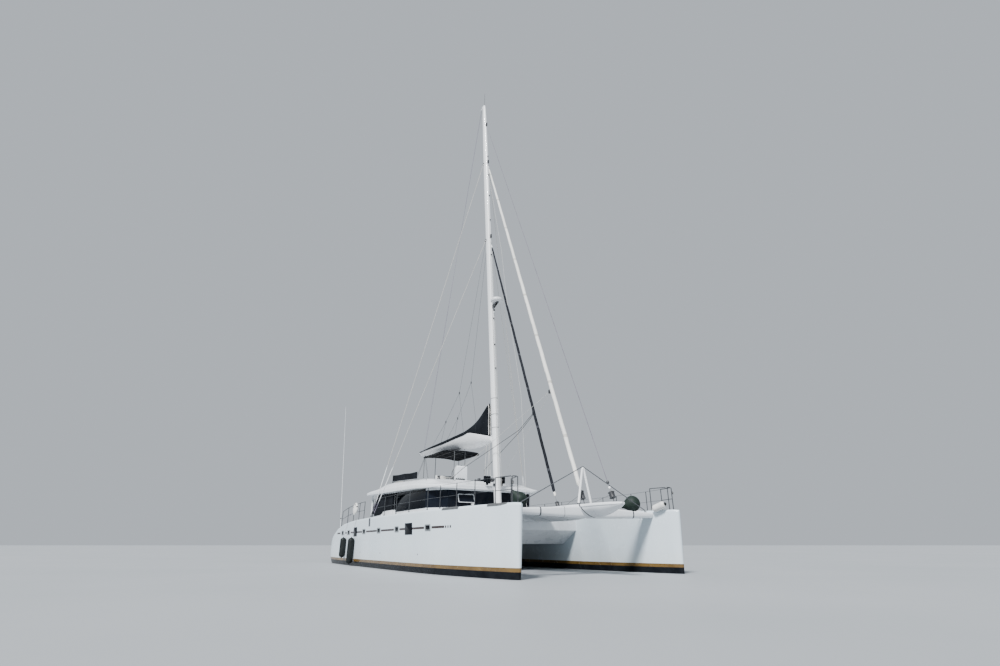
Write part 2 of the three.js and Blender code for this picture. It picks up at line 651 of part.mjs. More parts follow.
// Canopy over the helm on five poles, the forward two against the console's sides
const POLE_R = 17;
const POLE_OUT = CONSOLE.half + POLE_R + 0.5;
const POLES = [
  [-1430, CONSOLE.y - POLE_OUT],
  [-1430, CONSOLE.y + POLE_OUT],
  [-4000, -1060],
  [-4280, -260],
  [-4000, 1060],
];
function canopyFrame() {
  const z = CANOPY.z - 26;
  const poles = POLES.map(([x, y]) => bar([[x, y, FLY.floor + GAP], [x, y, z]], POLE_R, 8));
  const bows = [CANOPY.x0 + 30, -3300, -2300, CANOPY.x1 - 20].map((x) => (
    bar([[x, -CANOPY.half + 20, z], [x, CANOPY.half - 20, z]], 15, 8)
  ));
  const rails = [CONSOLE.y - POLE_OUT, CONSOLE.y + POLE_OUT, -CANOPY.half + 50, CANOPY.half - 50].map((y) => (
    bar([[CANOPY.x0 + 10, y, z - 3], [CANOPY.x1 - 5, y, z - 3]], 12, 8)
  ));
  return join(...poles, ...bows, ...rails);
}

function canopy() {
  const rings = [CANOPY.x0, -2740, CANOPY.x1].map((x, k) => {
    const lift = k === 1 ? 45 : 0;
    const low = CANOPY.z - 26 + 13.86 + GAP;
    const { half } = CANOPY;
    return [
      [x, -half, low], [x, half, low], [x, half, low + 35], [x, half * 0.5, low + 55 + lift],
      [x, -half * 0.5, low + 55 + lift], [x, -half, low + 35],
    ];
  });
  return loft(rings);
}

// Mast with its step collar, masthead crane and aerial rod
const MAST_SECTIONS = [[DECK_Z + 20, 1], [21000, 1], [26400, 0.8], [MAST_TOP[2], 0.55]];
function mastForm(sections = MAST_SECTIONS, margin = 0) {
  return loft(sections.map(([z, scale]) => {
    const [x] = mastPoint(z);
    return Array.from({ length: 20 }, (_, k) => {
      const angle = k * 2 * Math.PI / 20;
      const depth = MAST_DEPTH * scale + margin;
      const breadth = MAST_BREADTH * scale + margin;
      return [x + depth * Math.cos(angle), breadth * Math.sin(angle), z];
    });
  }));
}

function mast() {
  const tube = mastForm();
  const step = mastForm([[DECK_Z + GAP, 1.25], [DECK_Z + 60, 1.15]]);
  const [topX, , topZ] = MAST_TOP;
  const crane = slab([
    [topX - 380, topZ - 60], [topX + 260, topZ - 60], [topX + 260, topZ], [topX - 380, topZ],
  ], -50, 50);
  const aerial = bar([[topX + 60, 0, topZ - 30], [topX + 40, 0, topZ + 1050]], 12, 8);
  const [gooseneckX] = mastPoint(BOOM.z);
  const gooseneck = box(
    gooseneckX - BOOM_AXIS_OFFSET - 40, gooseneckX - MAST_DEPTH + 60, -45, 45, BOOM.z - 160, BOOM.z - 100,
  );
  const upper = box(
    gooseneckX - BOOM_AXIS_OFFSET - 40, gooseneckX - MAST_DEPTH + 60, -45, 45, BOOM.z + 100, BOOM.z + 160,
  );
  return join(tube, step, crane, aerial, gooseneck, upper);
}

const RADAR = { z: 12820, r: 310, out: 470 };
function radar() {
  const [x] = mastPoint(RADAR.z);
  const front = x + MAST_DEPTH + 1;
  const centre = [x + RADAR.out + 130, 0, RADAR.z];
  const dome = new THREE.CylinderGeometry(RADAR.r * 0.85, RADAR.r, 230, 18);
  dome.rotateX(Math.PI / 2);
  dome.translate(...centre);
  const arm = slab([
    [front - 30, RADAR.z - 330], [front + 40, RADAR.z - 330], [centre[0] + 160, RADAR.z - 135],
    [centre[0] + 160, RADAR.z - 105], [front - 30, RADAR.z - 105],
  ], -60, 60);
  return cut(join(solid(dome), arm), mastForm(MAST_SECTIONS, GAP));
}

// Boom with a deep vee underside: x, half breadth, top height, keel height
const BOOM = { z: 5640, pin: 24 };
const BOOM_STATIONS = [
  [-7050, 130, 6150, 6030],
  [-6900, 230, 6170, 5960],
  [-3500, 400, 6120, 5740],
  [-1500, 420, 6160, 5590],
  [-200, 430, 6170, 5440],
  [700, 400, 5990, 5400],
  [1300, 260, 5830, 5440],
  [1560, 110, 5770, 5530],
];

function boomSection([x, half, top, low]) {
  const deep = top - low;
  const side = [
    [x, half * 0.35, low + 0.09 * deep], [x, half * 0.68, low + 0.36 * deep],
    [x, half * 0.92, low + 0.68 * deep], [x, half, top - 30], [x, half - 30, top],
  ];
  return [[x, 0, low], ...side, ...side.toReversed().map(([, y, z]) => [x, -y, z])];
}

function boomAxisX() {
  return mastPoint(BOOM.z)[0] - BOOM_AXIS_OFFSET;
}

function boom() {
  const x = boomAxisX();
  const body = loft(BOOM_STATIONS.map(boomSection));
  const neck = box(1450, x, -40, 40, BOOM.z - 90, BOOM.z + 90);
  const barrel = bar([[x, 0, BOOM.z - 99.5], [x, 0, BOOM.z + 99.5]], 38, 14);
  return join(body, neck, barrel);
}

// Lowered mainsail in its cover on the boom: x, half breadth, ridge height
const COVER_STATIONS = [
  [-6800, 150, 6260],
  [-5000, 280, 6320],
  [-3000, 350, 6360],
  [-1000, 370, 6430],
  [-450, 370, 6500],
  [60, 350, 6660],
  [450, 300, 6870],
  [800, 230, 7110],
  [1150, 150, 7340],
  [1400, 80, 7440],
];

function sailCover() {
  const cover = loft(COVER_STATIONS.map(([x, half, ridge]) => {
    const low = between(BOOM_STATIONS, x, 2) - 2;
    const rise = ridge - low;
    return [
      [x, -half * 0.8, low], [x, half * 0.8, low], [x, half, low + 0.25 * rise],
      [x, half * 0.62, low + 0.65 * rise], [x, half * 0.16, ridge], [x, -half * 0.16, ridge],
      [x, -half * 0.62, low + 0.65 * rise], [x, -half, low + 0.25 * rise],
    ];
  }));
  const raised = BOOM_STATIONS.map(([x, half, top, low]) => [x, half, top + GAP, low]);
  return cut(cover, loft(raised.map(boomSection)));
}

// Furled headsails and stays: foot point, head height, radii up the stay, drum
const [houndX, staysailX, gennakerX] = [22790, 17050, 26260].map((z) => mastPoint(z)[0]);
const GENOA = { foot: [8250, 0, LONGERON_Z - 15], head: [houndX + 120, 0, 22790] };
const STAYSAIL = { foot: [6700, 0, LONGERON_Z - 50], head: [staysailX + 120, 0, 17050] };
const GENNAKER = { foot: [9760, 0, LONGERON_Z - 15], head: [gennakerX + 100, 0, 26260] };

function stay({ foot, head }, shares, radii, drum) {
  const points = shares.map((share) => foot.map((start, k) => start + share * (head[k] - start)));
  const line = bar(points, radii, 12);
  const [x, y, z] = foot;
  const run = (head[0] - x) / (head[2] - z);
  const at = (height) => [x + run * height, y, z + height];
  const spool = bar([at(drum.low), at(drum.high)], drum.r, 14);
  const plateFoot = box(x - 70, x + 70, -30, 30, z, z + 60);
  return cut(join(line, spool, plateFoot), longeronForm(GAP), mastForm(MAST_SECTIONS, GAP));
}

function genoa() {
  return stay(
    GENOA, [0.0015, 0.028, 0.034, 0.3, 0.7, 0.965, 0.97, 1], [16, 16, 82, 86, 74, 46, 16, 16],
    { low: 150, high: 420, r: 105 },
  );
}

function staysail() {
  return stay(
    STAYSAIL, [0.002, 0.03, 0.036, 0.5, 0.95, 0.955, 1], [14, 14, 66, 62, 40, 14, 14],
    { low: 110, high: 300, r: 85 },
  );
}

function gennakerStay() {
  return stay(GENNAKER, [0.0015, 0.5, 1], [22, 22, 22], { low: 90, high: 290, r: 95 });
}

// Shrouds on each side: one chainplate, a cap shroud and a lower shroud
const CHAINPLATE = [-1840, -4360, DECK_Z];
function shrouds() {
  const foot = [CHAINPLATE[0], CHAINPLATE[1], DECK_Z + 90];
  const cap = bar([foot, [houndX, -MAST_BREADTH / 2, 22790]], 11, 8);
  const lower = bar([foot, [staysailX, -MAST_BREADTH / 2, 17050]], 10, 8);
  const toggle = box(foot[0] - 60, foot[0] + 60, foot[1] - 16, foot[1] + 16, DECK_Z + GAP, DECK_Z + 130);
  const screws = [[houndX, 22790], [staysailX, 17050]].map(([x, z]) => {
    const reach = (share) => foot.map((start, k) => start + share * ([x, -MAST_BREADTH / 2, z][k] - start));
    return bar([reach(0.006), reach(0.035)], 20, 8);
  });
  return cut(join(cap, lower, toggle, ...screws), mastForm(MAST_SECTIONS, GAP));
}

// Guard rails: stanchion places and height over the deck
const RAIL_HALF_INSET = 90;
const RAIL_HEIGHT = 800;
const STANCHIONS = [-2000, -305, 1175, 2640, 4345, 5310, 6355, 7375];
const PULPIT_POSTS = [8365, 9065];
const PUSHPIT_POSTS = [-7350, -6150, -5100, -4130, -3300];
const railY = (x) => -HULL_Y - between(HULL_STATIONS, x, 1) + RAIL_HALF_INSET;
const deckAt = (x) => between(HULL_STATIONS, x, 3);
const railPoint = (x, height) => [x, railY(x), deckAt(x) + height];

function railing(posts, r, levels) {
  const uprights = posts.map((x) => bar([railPoint(x, -20), railPoint(x, RAIL_HEIGHT)], r, 8));
  const runs = levels.map(([height, thick]) => bar(posts.map((x) => railPoint(x, height)), thick, 8));
  return [...uprights, ...runs];
}

// The stanchions' wires end at the pulpit, a bent tube round the bow on four posts
function guardRail() {
  const wires = [[RAIL_HEIGHT - 8, 6], [390, 6]];
  const side = railing(STANCHIONS, 13, wires);
  const ends = wires.map(([height, thick]) => (
    bar([railPoint(STANCHIONS.at(-1), height), railPoint(PULPIT_POSTS[0], height)], thick - 0.5, 8)
  ));
  return cut(join(...side, ...ends, ...pulpit()), hullForm(GAP));
}

function pulpit() {
  const inner = PULPIT_POSTS.map((x) => [x, -2 * HULL_Y - railY(x), deckAt(x)]);
  const lift = (point, height) => [point[0], point[1], point[2] + height];
  const posts = inner.map((point) => bar([lift(point, GAP), lift(point, RAIL_HEIGHT)], 16, 8));
  const top = bar([
    railPoint(PULPIT_POSTS[0], RAIL_HEIGHT - 6), railPoint(PULPIT_POSTS[1], RAIL_HEIGHT - 6),
    lift(inner[1], RAIL_HEIGHT - 6), lift(inner[0], RAIL_HEIGHT - 6),
  ], 16, 8);
  return [...railing(PULPIT_POSTS, 16, [[390, 12]]), ...posts, top];
}

function pushpit() {
  return cut(join(...railing(PUSHPIT_POSTS, 16, [[RAIL_HEIGHT - 8, 16], [390, 12]])), hullForm(GAP));
}

// Fenders hang against the hull's outer side; lifebuoy and aerial sit at the quarter
function fender(x, z0, z1, r) {
  const y = -HULL_Y - between(HULL_STATIONS, x, 1) - r - GAP;
  const body = bar([
    [x, y, z0], [x, y, z0 + 60], [x, y, z0 + 140], [x, y, z1 - 140], [x, y, z1 - 60], [x, y, z1],
  ], [30, 0.75 * r, r, r, 0.75 * r, 30], 14);
  const lineTop = railPoint(x, 380);
  const edge = -HULL_Y - between(HULL_STATIONS, x, 1) - 10;
  const line = bar([
    [x, y, z1 - 20], [x, edge, deckAt(x) - 60], [x, edge, deckAt(x) + 30], [x, lineTop[1] - 19.3, lineTop[2]],
  ], 7, 8);
  return cut(join(body, line), hullForm(GAP));
}

function bowFender() {
  const from = [8530, 2975, 2150];
  const to = [9090, 3110, 2345];
  const at = (share) => from.map((start, k) => start + share * (to[k] - start));
  const body = bar([0, 0.1, 0.9, 1].map(at), [70, 140, 140, 70], 14);
  return cut(body, onSide(hullForm(GAP), PORT));
}

const BUOY = { x: -4650, z: 2640, r: 260, out: 70.2 };
function lifebuoy() {
  const ring = new THREE.TorusGeometry(BUOY.r, 58, 10, 24);
  ring.rotateX(Math.PI / 2);
  ring.translate(BUOY.x, railY(BUOY.x) - BUOY.out, BUOY.z);
  return solid(ring);
}

function aerial() {
  return cut(
    bar([[-8000, -4230, 1660], [-8000, -4230, 1990], [-8480, -4580, 8800]], [22, 16, 7], 8), hullForm(GAP),
  );
}

function cockpitSettee() {
  const x0 = COCKPIT.x0 + GAP;
  const base = SOLE_Z + GAP;
  const bench = box(x0, -4200, COCKPIT.half - 700, COCKPIT.half - GAP, base, base + 440);
  const aft = box(x0, x0 + 700, -1150, COCKPIT.half - GAP, base, base + 440);
  return join(bench, aft);
}

function cockpitTable() {
  const base = SOLE_Z + GAP;
  const top = box(-6200, -4600, 250, 1250, base + 680, base + 720);
  return join(top, box(-5500, -5300, 650, 850, base, base + 690));
}

function saloonSettee() {
  const base = SOLE_Z + GAP;
  const bench = box(-2400, 700, 1500, 2240, base, base + 430);
  const back = box(-2400, 700, 2100, 2240, base, base + 850);
  const table = box(-1500, -100, 400, 1180, base + 680, base + 720);
  const leg = box(-900, -700, 700, 1600, base, base + 60);
  const post = box(-860, -740, 700, 860, base, base + 700);
  return join(bench, back, table, leg, post);
}

// Assembly
for (const [name, side] of SIDES) {
  place(`hull_${name}`, onSide(hull(), side), gelcoat);
  place(`keel_${name}`, onSide(keel(), side), antifoul);
  place(`rudder_${name}`, onSide(rudder(), side), antifoul);
  place(`shaft_${name}`, onSide(shaft(), side), metal);
  place(`propeller_${name}`, onSide(propeller(), side), bronze);
  place(`trampoline_${name}`, trampoline(side), net);
  place(`saloon_wall_${name}`, onSide(wallSide(), side), gelcoat);
  place(`saloon_glass_${name}`, onSide(glassSide(), side), glazing);
  place(`locker_lid_${name}`, lockerLid(side), gelcoat);
  place(`fly_dodger_${name}`, onSide(flyDodger(), side), darkCloth);
  place(`shrouds_${name}`, onSide(shrouds(), side), metal);
  place(`guard_rail_${name}`, onSide(guardRail(), side), metal);
  place(`pushpit_${name}`, onSide(pushpit(), side), metal);
  place(`cockpit_curtain_${name}`, onSide(cockpitCurtain(), side), darkCloth);
}
place('bridgedeck', bridgedeck(), gelcoat);
place('crossbeam', crossbeam(), gelcoat);
place('longeron', longeron(), gelcoat);
place('striker_frame', strikerFrame(), gelcoat);
place('striker_stay', strikerStay(), metal);
place('saloon_wall_front', wallFront(), gelcoat);
place('saloon_wall_aft', wallAft(), gelcoat);
place('saloon_glass_front', glassFront(), glazing);
place('saloon_door', saloonDoor(), glazing);
place('saloon_settee', saloonSettee(), seatCloth);
place('coachroof', coachroof(), gelcoat);
place('helm_console', helmConsole(), gelcoat);
place('helm_wheel', helmWheel(), metal);
place('helm_seat', helmSeat(), gelcoat);
place('fly_settee', flySettee(), seatCloth);
place('canopy_frame', canopyFrame(), metal);
place('canopy', canopy(), darkCloth);
place('mast', mast(), gelcoat);
place('radar', radar(), gelcoat);
place('boom', boom(), gelcoat);
place('sail_cover', sailCover(), darkCloth);
place('genoa_furled', genoa(), whiteCloth);
place('staysail_furled', staysail(), darkCloth);
place('gennaker_stay', gennakerStay(), metal);
place('cockpit_settee', cockpitSettee(), seatCloth);
place('cockpit_table', cockpitTable(), woodTone);
place('fender_aft', fender(-5700, 310, 1330, 150), darkPlastic);
place('fender_forward', fender(-4200, 60, 1310, 160), darkPlastic);
place('fender_bow', bowFender(), gelcoat);
place('lifebuoy', lifebuoy(), whiteCloth);
place('whip_aerial', aerial(), gelcoat);

export default boat;
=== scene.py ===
from math import atan2, copysign, cos, pi, radians, sin, sqrt
import bmesh
import bpy
import numpy as np
from mathutils import Matrix, Vector


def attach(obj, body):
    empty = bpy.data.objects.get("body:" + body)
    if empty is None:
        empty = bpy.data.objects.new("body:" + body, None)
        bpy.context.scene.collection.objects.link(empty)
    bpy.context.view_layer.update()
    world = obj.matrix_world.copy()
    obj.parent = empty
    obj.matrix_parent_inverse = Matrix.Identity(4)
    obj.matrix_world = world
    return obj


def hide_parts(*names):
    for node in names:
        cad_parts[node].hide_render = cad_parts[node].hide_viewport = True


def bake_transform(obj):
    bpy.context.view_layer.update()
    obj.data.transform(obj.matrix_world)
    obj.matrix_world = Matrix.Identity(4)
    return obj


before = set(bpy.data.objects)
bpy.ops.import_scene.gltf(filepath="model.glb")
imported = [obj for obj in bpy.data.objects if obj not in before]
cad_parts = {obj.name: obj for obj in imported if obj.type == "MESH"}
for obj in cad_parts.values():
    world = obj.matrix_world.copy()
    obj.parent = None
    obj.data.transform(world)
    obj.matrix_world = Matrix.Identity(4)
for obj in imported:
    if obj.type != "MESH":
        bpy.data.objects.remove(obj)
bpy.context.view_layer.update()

# Camera: low over the water ahead of the starboard bow, tilted up, with a wide lens.
# Its place, heading and lens follow the photograph's frame of 1000 by 666.
CAMERA_AT = (23.071, -12.288, 0.943)
CAMERA_LENS = 18.526
HEADING = radians(-30.734)
TILT = radians(22.373)
camera_data = bpy.data.cameras.new("camera")
camera_data.lens = CAMERA_LENS
camera_data.sensor_width = 36
camera = bpy.data.objects.new("camera", camera_data)
looking = Vector((-cos(HEADING) * cos(TILT), -sin(HEADING) * cos(TILT), sin(TILT)))
camera.location = CAMERA_AT
camera.rotation_euler = looking.to_track_quat("-Z", "Y").to_euler()
bpy.context.scene.collection.objects.link(camera)
bpy.context.scene.camera = camera


# Studio: a plain pale floor at the waterline, a pale surround and one large soft light.
# The floor hides what a real boat has under water, and isn't part of the object.
def wire(tree, node, inputs):
    for key, value in inputs.items():
        if isinstance(value, bpy.types.NodeSocket):
            tree.links.new(value, node.inputs[key])
        else:
            node.inputs[key].default_value = value


def add(tree, kind, inputs, **settings):
    made = tree.nodes.new("ShaderNode" + kind)
    for key, value in settings.items():
        setattr(made, key, value)
    wire(tree, made, inputs)
    return made


def reckoned(tree, operation, *values):
    return add(tree, "Math", dict(enumerate(values)), operation=operation).outputs[0]


def blank(name):
    made = bpy.data.materials.new(name)
    made.use_nodes = True
    tree = made.node_tree
    shader = tree.nodes["Principled BSDF"]
    place = add(tree, "TexCoord", {}).outputs["Object"]
    return made, tree, shader, place


def two_tone(tree, factor, dark, light, low=0.3, high=0.7):
    ramp = add(tree, "ValToRGB", {"Fac": factor})
    ramp.color_ramp.elements[0].position = low
    ramp.color_ramp.elements[0].color = (*dark, 1)
    ramp.color_ramp.elements[1].position = high
    ramp.color_ramp.elements[1].color = (*light, 1)
    return ramp.outputs["Color"]


def ranged(tree, value, low, high):
    return add(tree, "MapRange", {"Value": value, "To Min": low, "To Max": high}).outputs["Result"]


def noise(tree, place, size, detail=3.0, stretch=(1, 1, 1)):
    spread = add(tree, "Mapping", {"Vector": place, "Scale": stretch}).outputs["Vector"]
    return add(tree, "TexNoise", {"Vector": spread, "Scale": size, "Detail": detail}).outputs["Fac"]


def bump(tree, shader, height, depth, strength=0.5):
    made = add(tree, "Bump", {"Height": height, "Distance": depth, "Strength": strength})
    tree.links.new(made.outputs["Normal"], shader.inputs["Normal"])


def finish(
    name, dark, light, patch=1.2, rough=(0.3, 0.4), grain=80, depth=0.001, stretch=(1, 1, 1), **sockets,
):
    made, tree, shader, place = blank(name)
    drift = noise(tree, place, patch, 4, stretch)
    wire(tree, shader, {
        "Base Color": two_tone(tree, drift, dark, light),
        "Roughness": ranged(tree, noise(tree, place, patch * 6, 2, stretch), *rough),
        **{key.replace("_", " "): value for key, value in sockets.items()},
    })
    bump(tree, shader, noise(tree, place, grain, 2, stretch), depth)
    return made


floor_bm = bmesh.new()
bmesh.ops.create_grid(floor_bm, x_segments=1, y_segments=1, size=3000)
floor_mesh = bpy.data.meshes.new("floor")
floor_bm.to_mesh(floor_mesh)
floor_bm.free()
floor = bpy.data.objects.new("floor", floor_mesh)
bpy.context.scene.collection.objects.link(floor)
floor_mesh.materials.append(
    finish("floor_paint", (0.30, 0.32, 0.34), (0.33, 0.35, 0.37), patch=0.1, rough=(0.5, 0.6))
)
SKY = (0.80, 0.87, 0.95, 1)
SKY_STRENGTH = 0.66
SUN_STRENGTH = 7.4
SUN_SPREAD = radians(12)
SUN_HEADING = Vector((-0.37, 0.54, -0.74))
world = bpy.data.worlds.new("surround")
world.use_nodes = True
world.node_tree.nodes["Background"].inputs["Color"].default_value = SKY
world.node_tree.nodes["Background"].inputs["Strength"].default_value = SKY_STRENGTH
bpy.context.scene.world = world
sun_data = bpy.data.lights.new("soft_key", "SUN")
sun_data.energy = SUN_STRENGTH
sun_data.angle = SUN_SPREAD
sun = bpy.data.objects.new("soft_key", sun_data)
sun.rotation_euler = SUN_HEADING.to_track_quat("-Z", "Y").to_euler()
bpy.context.scene.collection.objects.link(sun)


# Hulls: two white glass-fibre hulls with a plumb stem, a flat flank and steps down to the stern.
# The gelcoat carries a yellow-brown boot stripe over black bottom paint, and a thin dark line; its white is
# painted greyer and bluer than the roof's gelcoat, as painted shade on the upright flanks.
SIDES = (("starboard", -1), ("port", 1))
HULL_Y = 3.42
STEM_X = 9.26
# x, half breadth at the deck, half breadth at the waterline, deck height, bottom height
HULL_TABLE = (
    (-9.45, 0.80, 0.64, 0.83, 0.16), (-9.33, 0.86, 0.74, 1.08, 0.06), (-8.90, 0.93, 0.84, 1.40, -0.09),
    (-8.30, 0.97, 0.90, 1.62, -0.23), (-7.50, 1.00, 0.94, 1.83, -0.38), (-6.00, 1.03, 0.98, 2.01, -0.56),
    (-4.00, 1.03, 0.985, 2.11, -0.69), (-1.00, 1.03, 0.99, 2.14, -0.78), (2.00, 1.03, 0.985, 2.14, -0.80),
    (4.60, 0.96, 0.905, 2.14, -0.78), (6.30, 0.77, 0.705, 2.14, -0.74), (7.70, 0.53, 0.46, 2.14, -0.68),
    (8.70, 0.30, 0.24, 2.14, -0.59), (9.12, 0.17, 0.13, 2.14, -0.47), (STEM_X, 0.07, 0.055, 2.12, -0.33),
)
# where the thin dark line is drawn on the flank, from one end of each dash to the other
LINE_SPANS = (
    (-7.79, -7.05), (-6.03, -5.72), (-5.02, -4.40), (-4.00, -3.07), (-2.44, -0.87), (-0.32, 1.34),
    (1.96, 2.60), (3.20, 4.36), (4.94, 5.80), (5.85, 5.93), (6.00, 6.07), (6.14, 6.22),
)
LINE_Z = (1.479, 1.561)
STRIPE_Z = (0.205, 0.32)
# the line is on the outer flanks only, which lie further out than this
OUTER_Y = 3.9
STERN_STEPS = ((-8.86, 0.47), (-8.52, 0.74), (-8.18, 1.01), (-7.84, 1.28), (-7.48, 1.55))
STEP_HALF = 0.64


def eased(table, x):
    rows = np.array(table, float)
    rise = np.diff(rows, axis=0) / np.diff(rows[:, 0])[:, None]
    k = min(max(int(np.searchsorted(rows[:, 0], x)) - 1, 0), len(rows) - 2)

    def slope(j):
        if j in (0, len(rows) - 1):
            return rise[min(j, len(rise) - 1)]
        a, b = rise[j - 1], rise[j]
        return np.where(a * b > 0, 2 * a * b / np.where(a * b > 0, a + b, 1), 0)

    span = rows[k + 1, 0] - rows[k, 0]
    t = min(max((x - rows[k, 0]) / span, 0), 1)
    return (
        (2 * t**3 - 3 * t**2 + 1) * rows[k] + (t**3 - 2 * t**2 + t) * span * slope(k)
        + (3 * t**2 - 2 * t**3) * rows[k + 1] + (t**3 - t**2) * span * slope(k + 1)
    )


def loft(rings, bm=None, closed=True):
    bm = bm or bmesh.new()
    verts = [bm.verts.new(point) for point in rings[0]]
    pairs = list(zip(verts, verts[1:] + verts[:1])) if closed else list(zip(verts, verts[1:]))
    edges = [bm.edges.new(pair) for pair in pairs]
    if closed:
        bm.faces.new(verts)
    for ring in rings[1:]:
        geom = bmesh.ops.extrude_edge_only(bm, edges=edges)["geom"]
        fresh = {v for v in geom if isinstance(v, bmesh.types.BMVert)}
        edges = [e for e in geom if isinstance(e, bmesh.types.BMEdge) and set(e.verts) <= fresh]
        verts = [next(e.other_vert(v) for e in v.link_edges if e.other_vert(v) in fresh) for v in verts]
        for vert, point in zip(verts, ring):
            vert.co = point
    if closed:
        bm.faces.new(verts)
    return bm


def evaluated(made):
    return made.evaluated_get(bpy.context.evaluated_depsgraph_get())


def object_of(name, bm):
    mesh = bpy.data.meshes.new(name)
    bm.to_mesh(mesh)
    bm.free()
    made = bpy.data.objects.new(name, mesh)
    bpy.context.scene.collection.objects.link(made)
    return made


def carved(bm, *tools):
    bmesh.ops.recalc_face_normals(bm, faces=bm.faces)
    whole = object_of("whole", bm)
    cutters = []
    for tool in tools:
        bmesh.ops.recalc_face_normals(tool, faces=tool.faces)
        cutters.append(object_of("cutter", tool))
        modifier = whole.modifiers.new("cut", "BOOLEAN")
        modifier.object = cutters[-1]
        modifier.solver = "EXACT"
    shown = evaluated(whole)
    left = bmesh.new()
    left.from_mesh(shown.to_mesh())
    shown.to_mesh_clear()
    for made in (whole, *cutters):
        bpy.data.objects.remove(made)
    return left


def piece(name, bm, material, body="boat", instead=None, bevel=0.0, sharp=35, rounds=2, thick=0.0):
    bmesh.ops.remove_doubles(bm, verts=bm.verts, dist=1e-5)
    bmesh.ops.recalc_face_normals(bm, faces=bm.faces)
    made = object_of(name, bm)
    made.data.materials.append(material)
    made.data.shade_smooth()
    if thick:
        wall = made.modifiers.new("thickness", "SOLIDIFY")
        wall.thickness = thick
        wall.offset = 0
    if bevel:
        edge = made.modifiers.new("edges", "BEVEL")
        edge.width = bevel
        edge.segments = rounds
        edge.limit_method = "ANGLE"
        edge.angle_limit = radians(sharp)
        edge.harden_normals = True
    else:
        made.data.set_sharp_from_angle(angle=radians(sharp))
    if body:
        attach(made, body)
    if instead:
        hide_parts(instead)
    return made


def around(count):
    return np.linspace(0, 2 * pi, count + 1)[:-1]


def hull_section(x):
    _, deck, water, top, low = eased(HULL_TABLE, x)
    level = max(0.04, low + 0.06)
    chine = low + 0.9 * (level - low)
    knuckle = level + 0.45 * (top - level)
    half = [(water * sin(t), low + (chine - low) * (1 - cos(t))) for t in np.linspace(0, pi / 2, 10)]
    half += [
        (water + (deck - water) * (1 - (1 - t)**2), chine + t * (knuckle - chine))
        for t in (0.3, 0.6, 1)
    ]
    half += [(deck, knuckle + t * (top - 0.09 - knuckle)) for t in (0.5, 1)]
    half += [(deck - 0.068 * (1 - cos(t)), top - 0.09 + 0.09 * sin(t)) for t in np.linspace(0.3, pi / 2, 5)]
    lean = 0.062 * min(max((x - 8.5) / (STEM_X - 8.5), 0), 1)
    whole = half + [(-y, z) for y, z in reversed(half[1:])]
    return [Vector((x + lean * (z - 0.21), y, z)) for y, z in whole]


def hull_form(side):
    xs = [
        *np.linspace(-9.45, -8.9, 8), *np.linspace(-8.8, -7.5, 9), *np.linspace(-7.1, 8.3, 34),
        *np.linspace(8.45, STEM_X, 12),
    ]
    rings = [hull_section(x) for x in xs]
    stern, stem = rings[0], rings[-1]
    rings.insert(0, [Vector((p.x - 0.018, p.y * 0.96, 0.5 + (p.z - 0.5) * 0.96)) for p in stern])
    for out, narrow in ((0.018, 0.78), (0.030, 0.40), (0.034, 0.10)):
        rings.append([Vector((p.x + out, p.y * narrow, p.z)) for p in stem])
    return loft([[Vector((p.x, p.y + side * HULL_Y, p.z)) for p in ring] for ring in rings])


def stair_cutter(side):
    outline = [(-9.9, STERN_STEPS[0][1])]
    for (x, z), following in zip(STERN_STEPS, (*STERN_STEPS[1:], (0, 2.6))):
        outline += [(x, z), (x, following[1])]
    outline.append((-9.9, 2.6))
    return loft([[Vector((x, side * HULL_Y + y, z)) for x, z in outline] for y in (-STEP_HALF, STEP_HALF)])


def between(tree, value, low, high):
    over = reckoned(tree, "GREATER_THAN", value, low)
    under = reckoned(tree, "LESS_THAN", value, high)
    return reckoned(tree, "MULTIPLY", over, under)


def painted(tree, factor, below, above):
    mix = add(tree, "Mix", {0: factor, "A": below, "B": above}, data_type="RGBA")
    return mix.outputs["Result"]


def hull_finish():
    made, tree, shader, place = blank("hull_gelcoat")
    axes = add(tree, "SeparateXYZ", {"Vector": place})
    x, y, z = (axes.outputs[k] for k in "XYZ")
    # painted shade: the hull white is greyer and bluer than the roof's white gelcoat, standing in for the
    # shade on the flanks
    white = two_tone(tree, noise(tree, place, 0.5, 5, (1, 1, 0.3)), (0.60, 0.69, 0.75), (0.67, 0.75, 0.80))
    streak = noise(tree, place, 3.0, 5, (2.2, 2.2, 0.12))
    near_water = {"Value": z, "From Min": 0.9, "From Max": 0.3, "To Min": 0.0, "To Max": 0.45}
    stain = reckoned(tree, "MULTIPLY", streak, add(tree, "MapRange", near_water).outputs[0])
    colour = painted(tree, stain, white, (0.62, 0.60, 0.50, 1))
    outer = reckoned(tree, "GREATER_THAN", reckoned(tree, "ABSOLUTE", y), OUTER_Y)
    drawn = None
    for low, high in LINE_SPANS:
        dash = between(tree, x, low, high)
        drawn = reckoned(tree, "MAXIMUM", drawn, dash) if drawn else dash
    line = reckoned(tree, "MULTIPLY", between(tree, z, *LINE_Z), drawn)
    line = reckoned(tree, "MULTIPLY", line, outer)
    colour = painted(tree, line, colour, (0.022, 0.010, 0.009, 1))
    stripe = two_tone(tree, noise(tree, place, 2.5, 5), (0.10, 0.055, 0.013), (0.165, 0.098, 0.026))
    colour = painted(tree, between(tree, z, *STRIPE_Z), colour, stripe)
    bottom = two_tone(tree, noise(tree, place, 3, 5), (0.004, 0.005, 0.007), (0.012, 0.014, 0.017))
    above = reckoned(tree, "GREATER_THAN", z, STRIPE_Z[0])
    colour = painted(tree, above, bottom, colour)
    wire(tree, shader, {
        "Base Color": colour,
        "Roughness": ranged(tree, noise(tree, place, 4, 3), 0.2, 0.32),
        "Specular IOR Level": ranged(tree, above, 0.06, 0.5),
        "Coat Weight": ranged(tree, above, 0.0, 0.15),
        "Coat Roughness": 0.08,
    })
    bump(tree, shader, noise(tree, place, 2.2, 3), 0.004, 0.25)
    return made


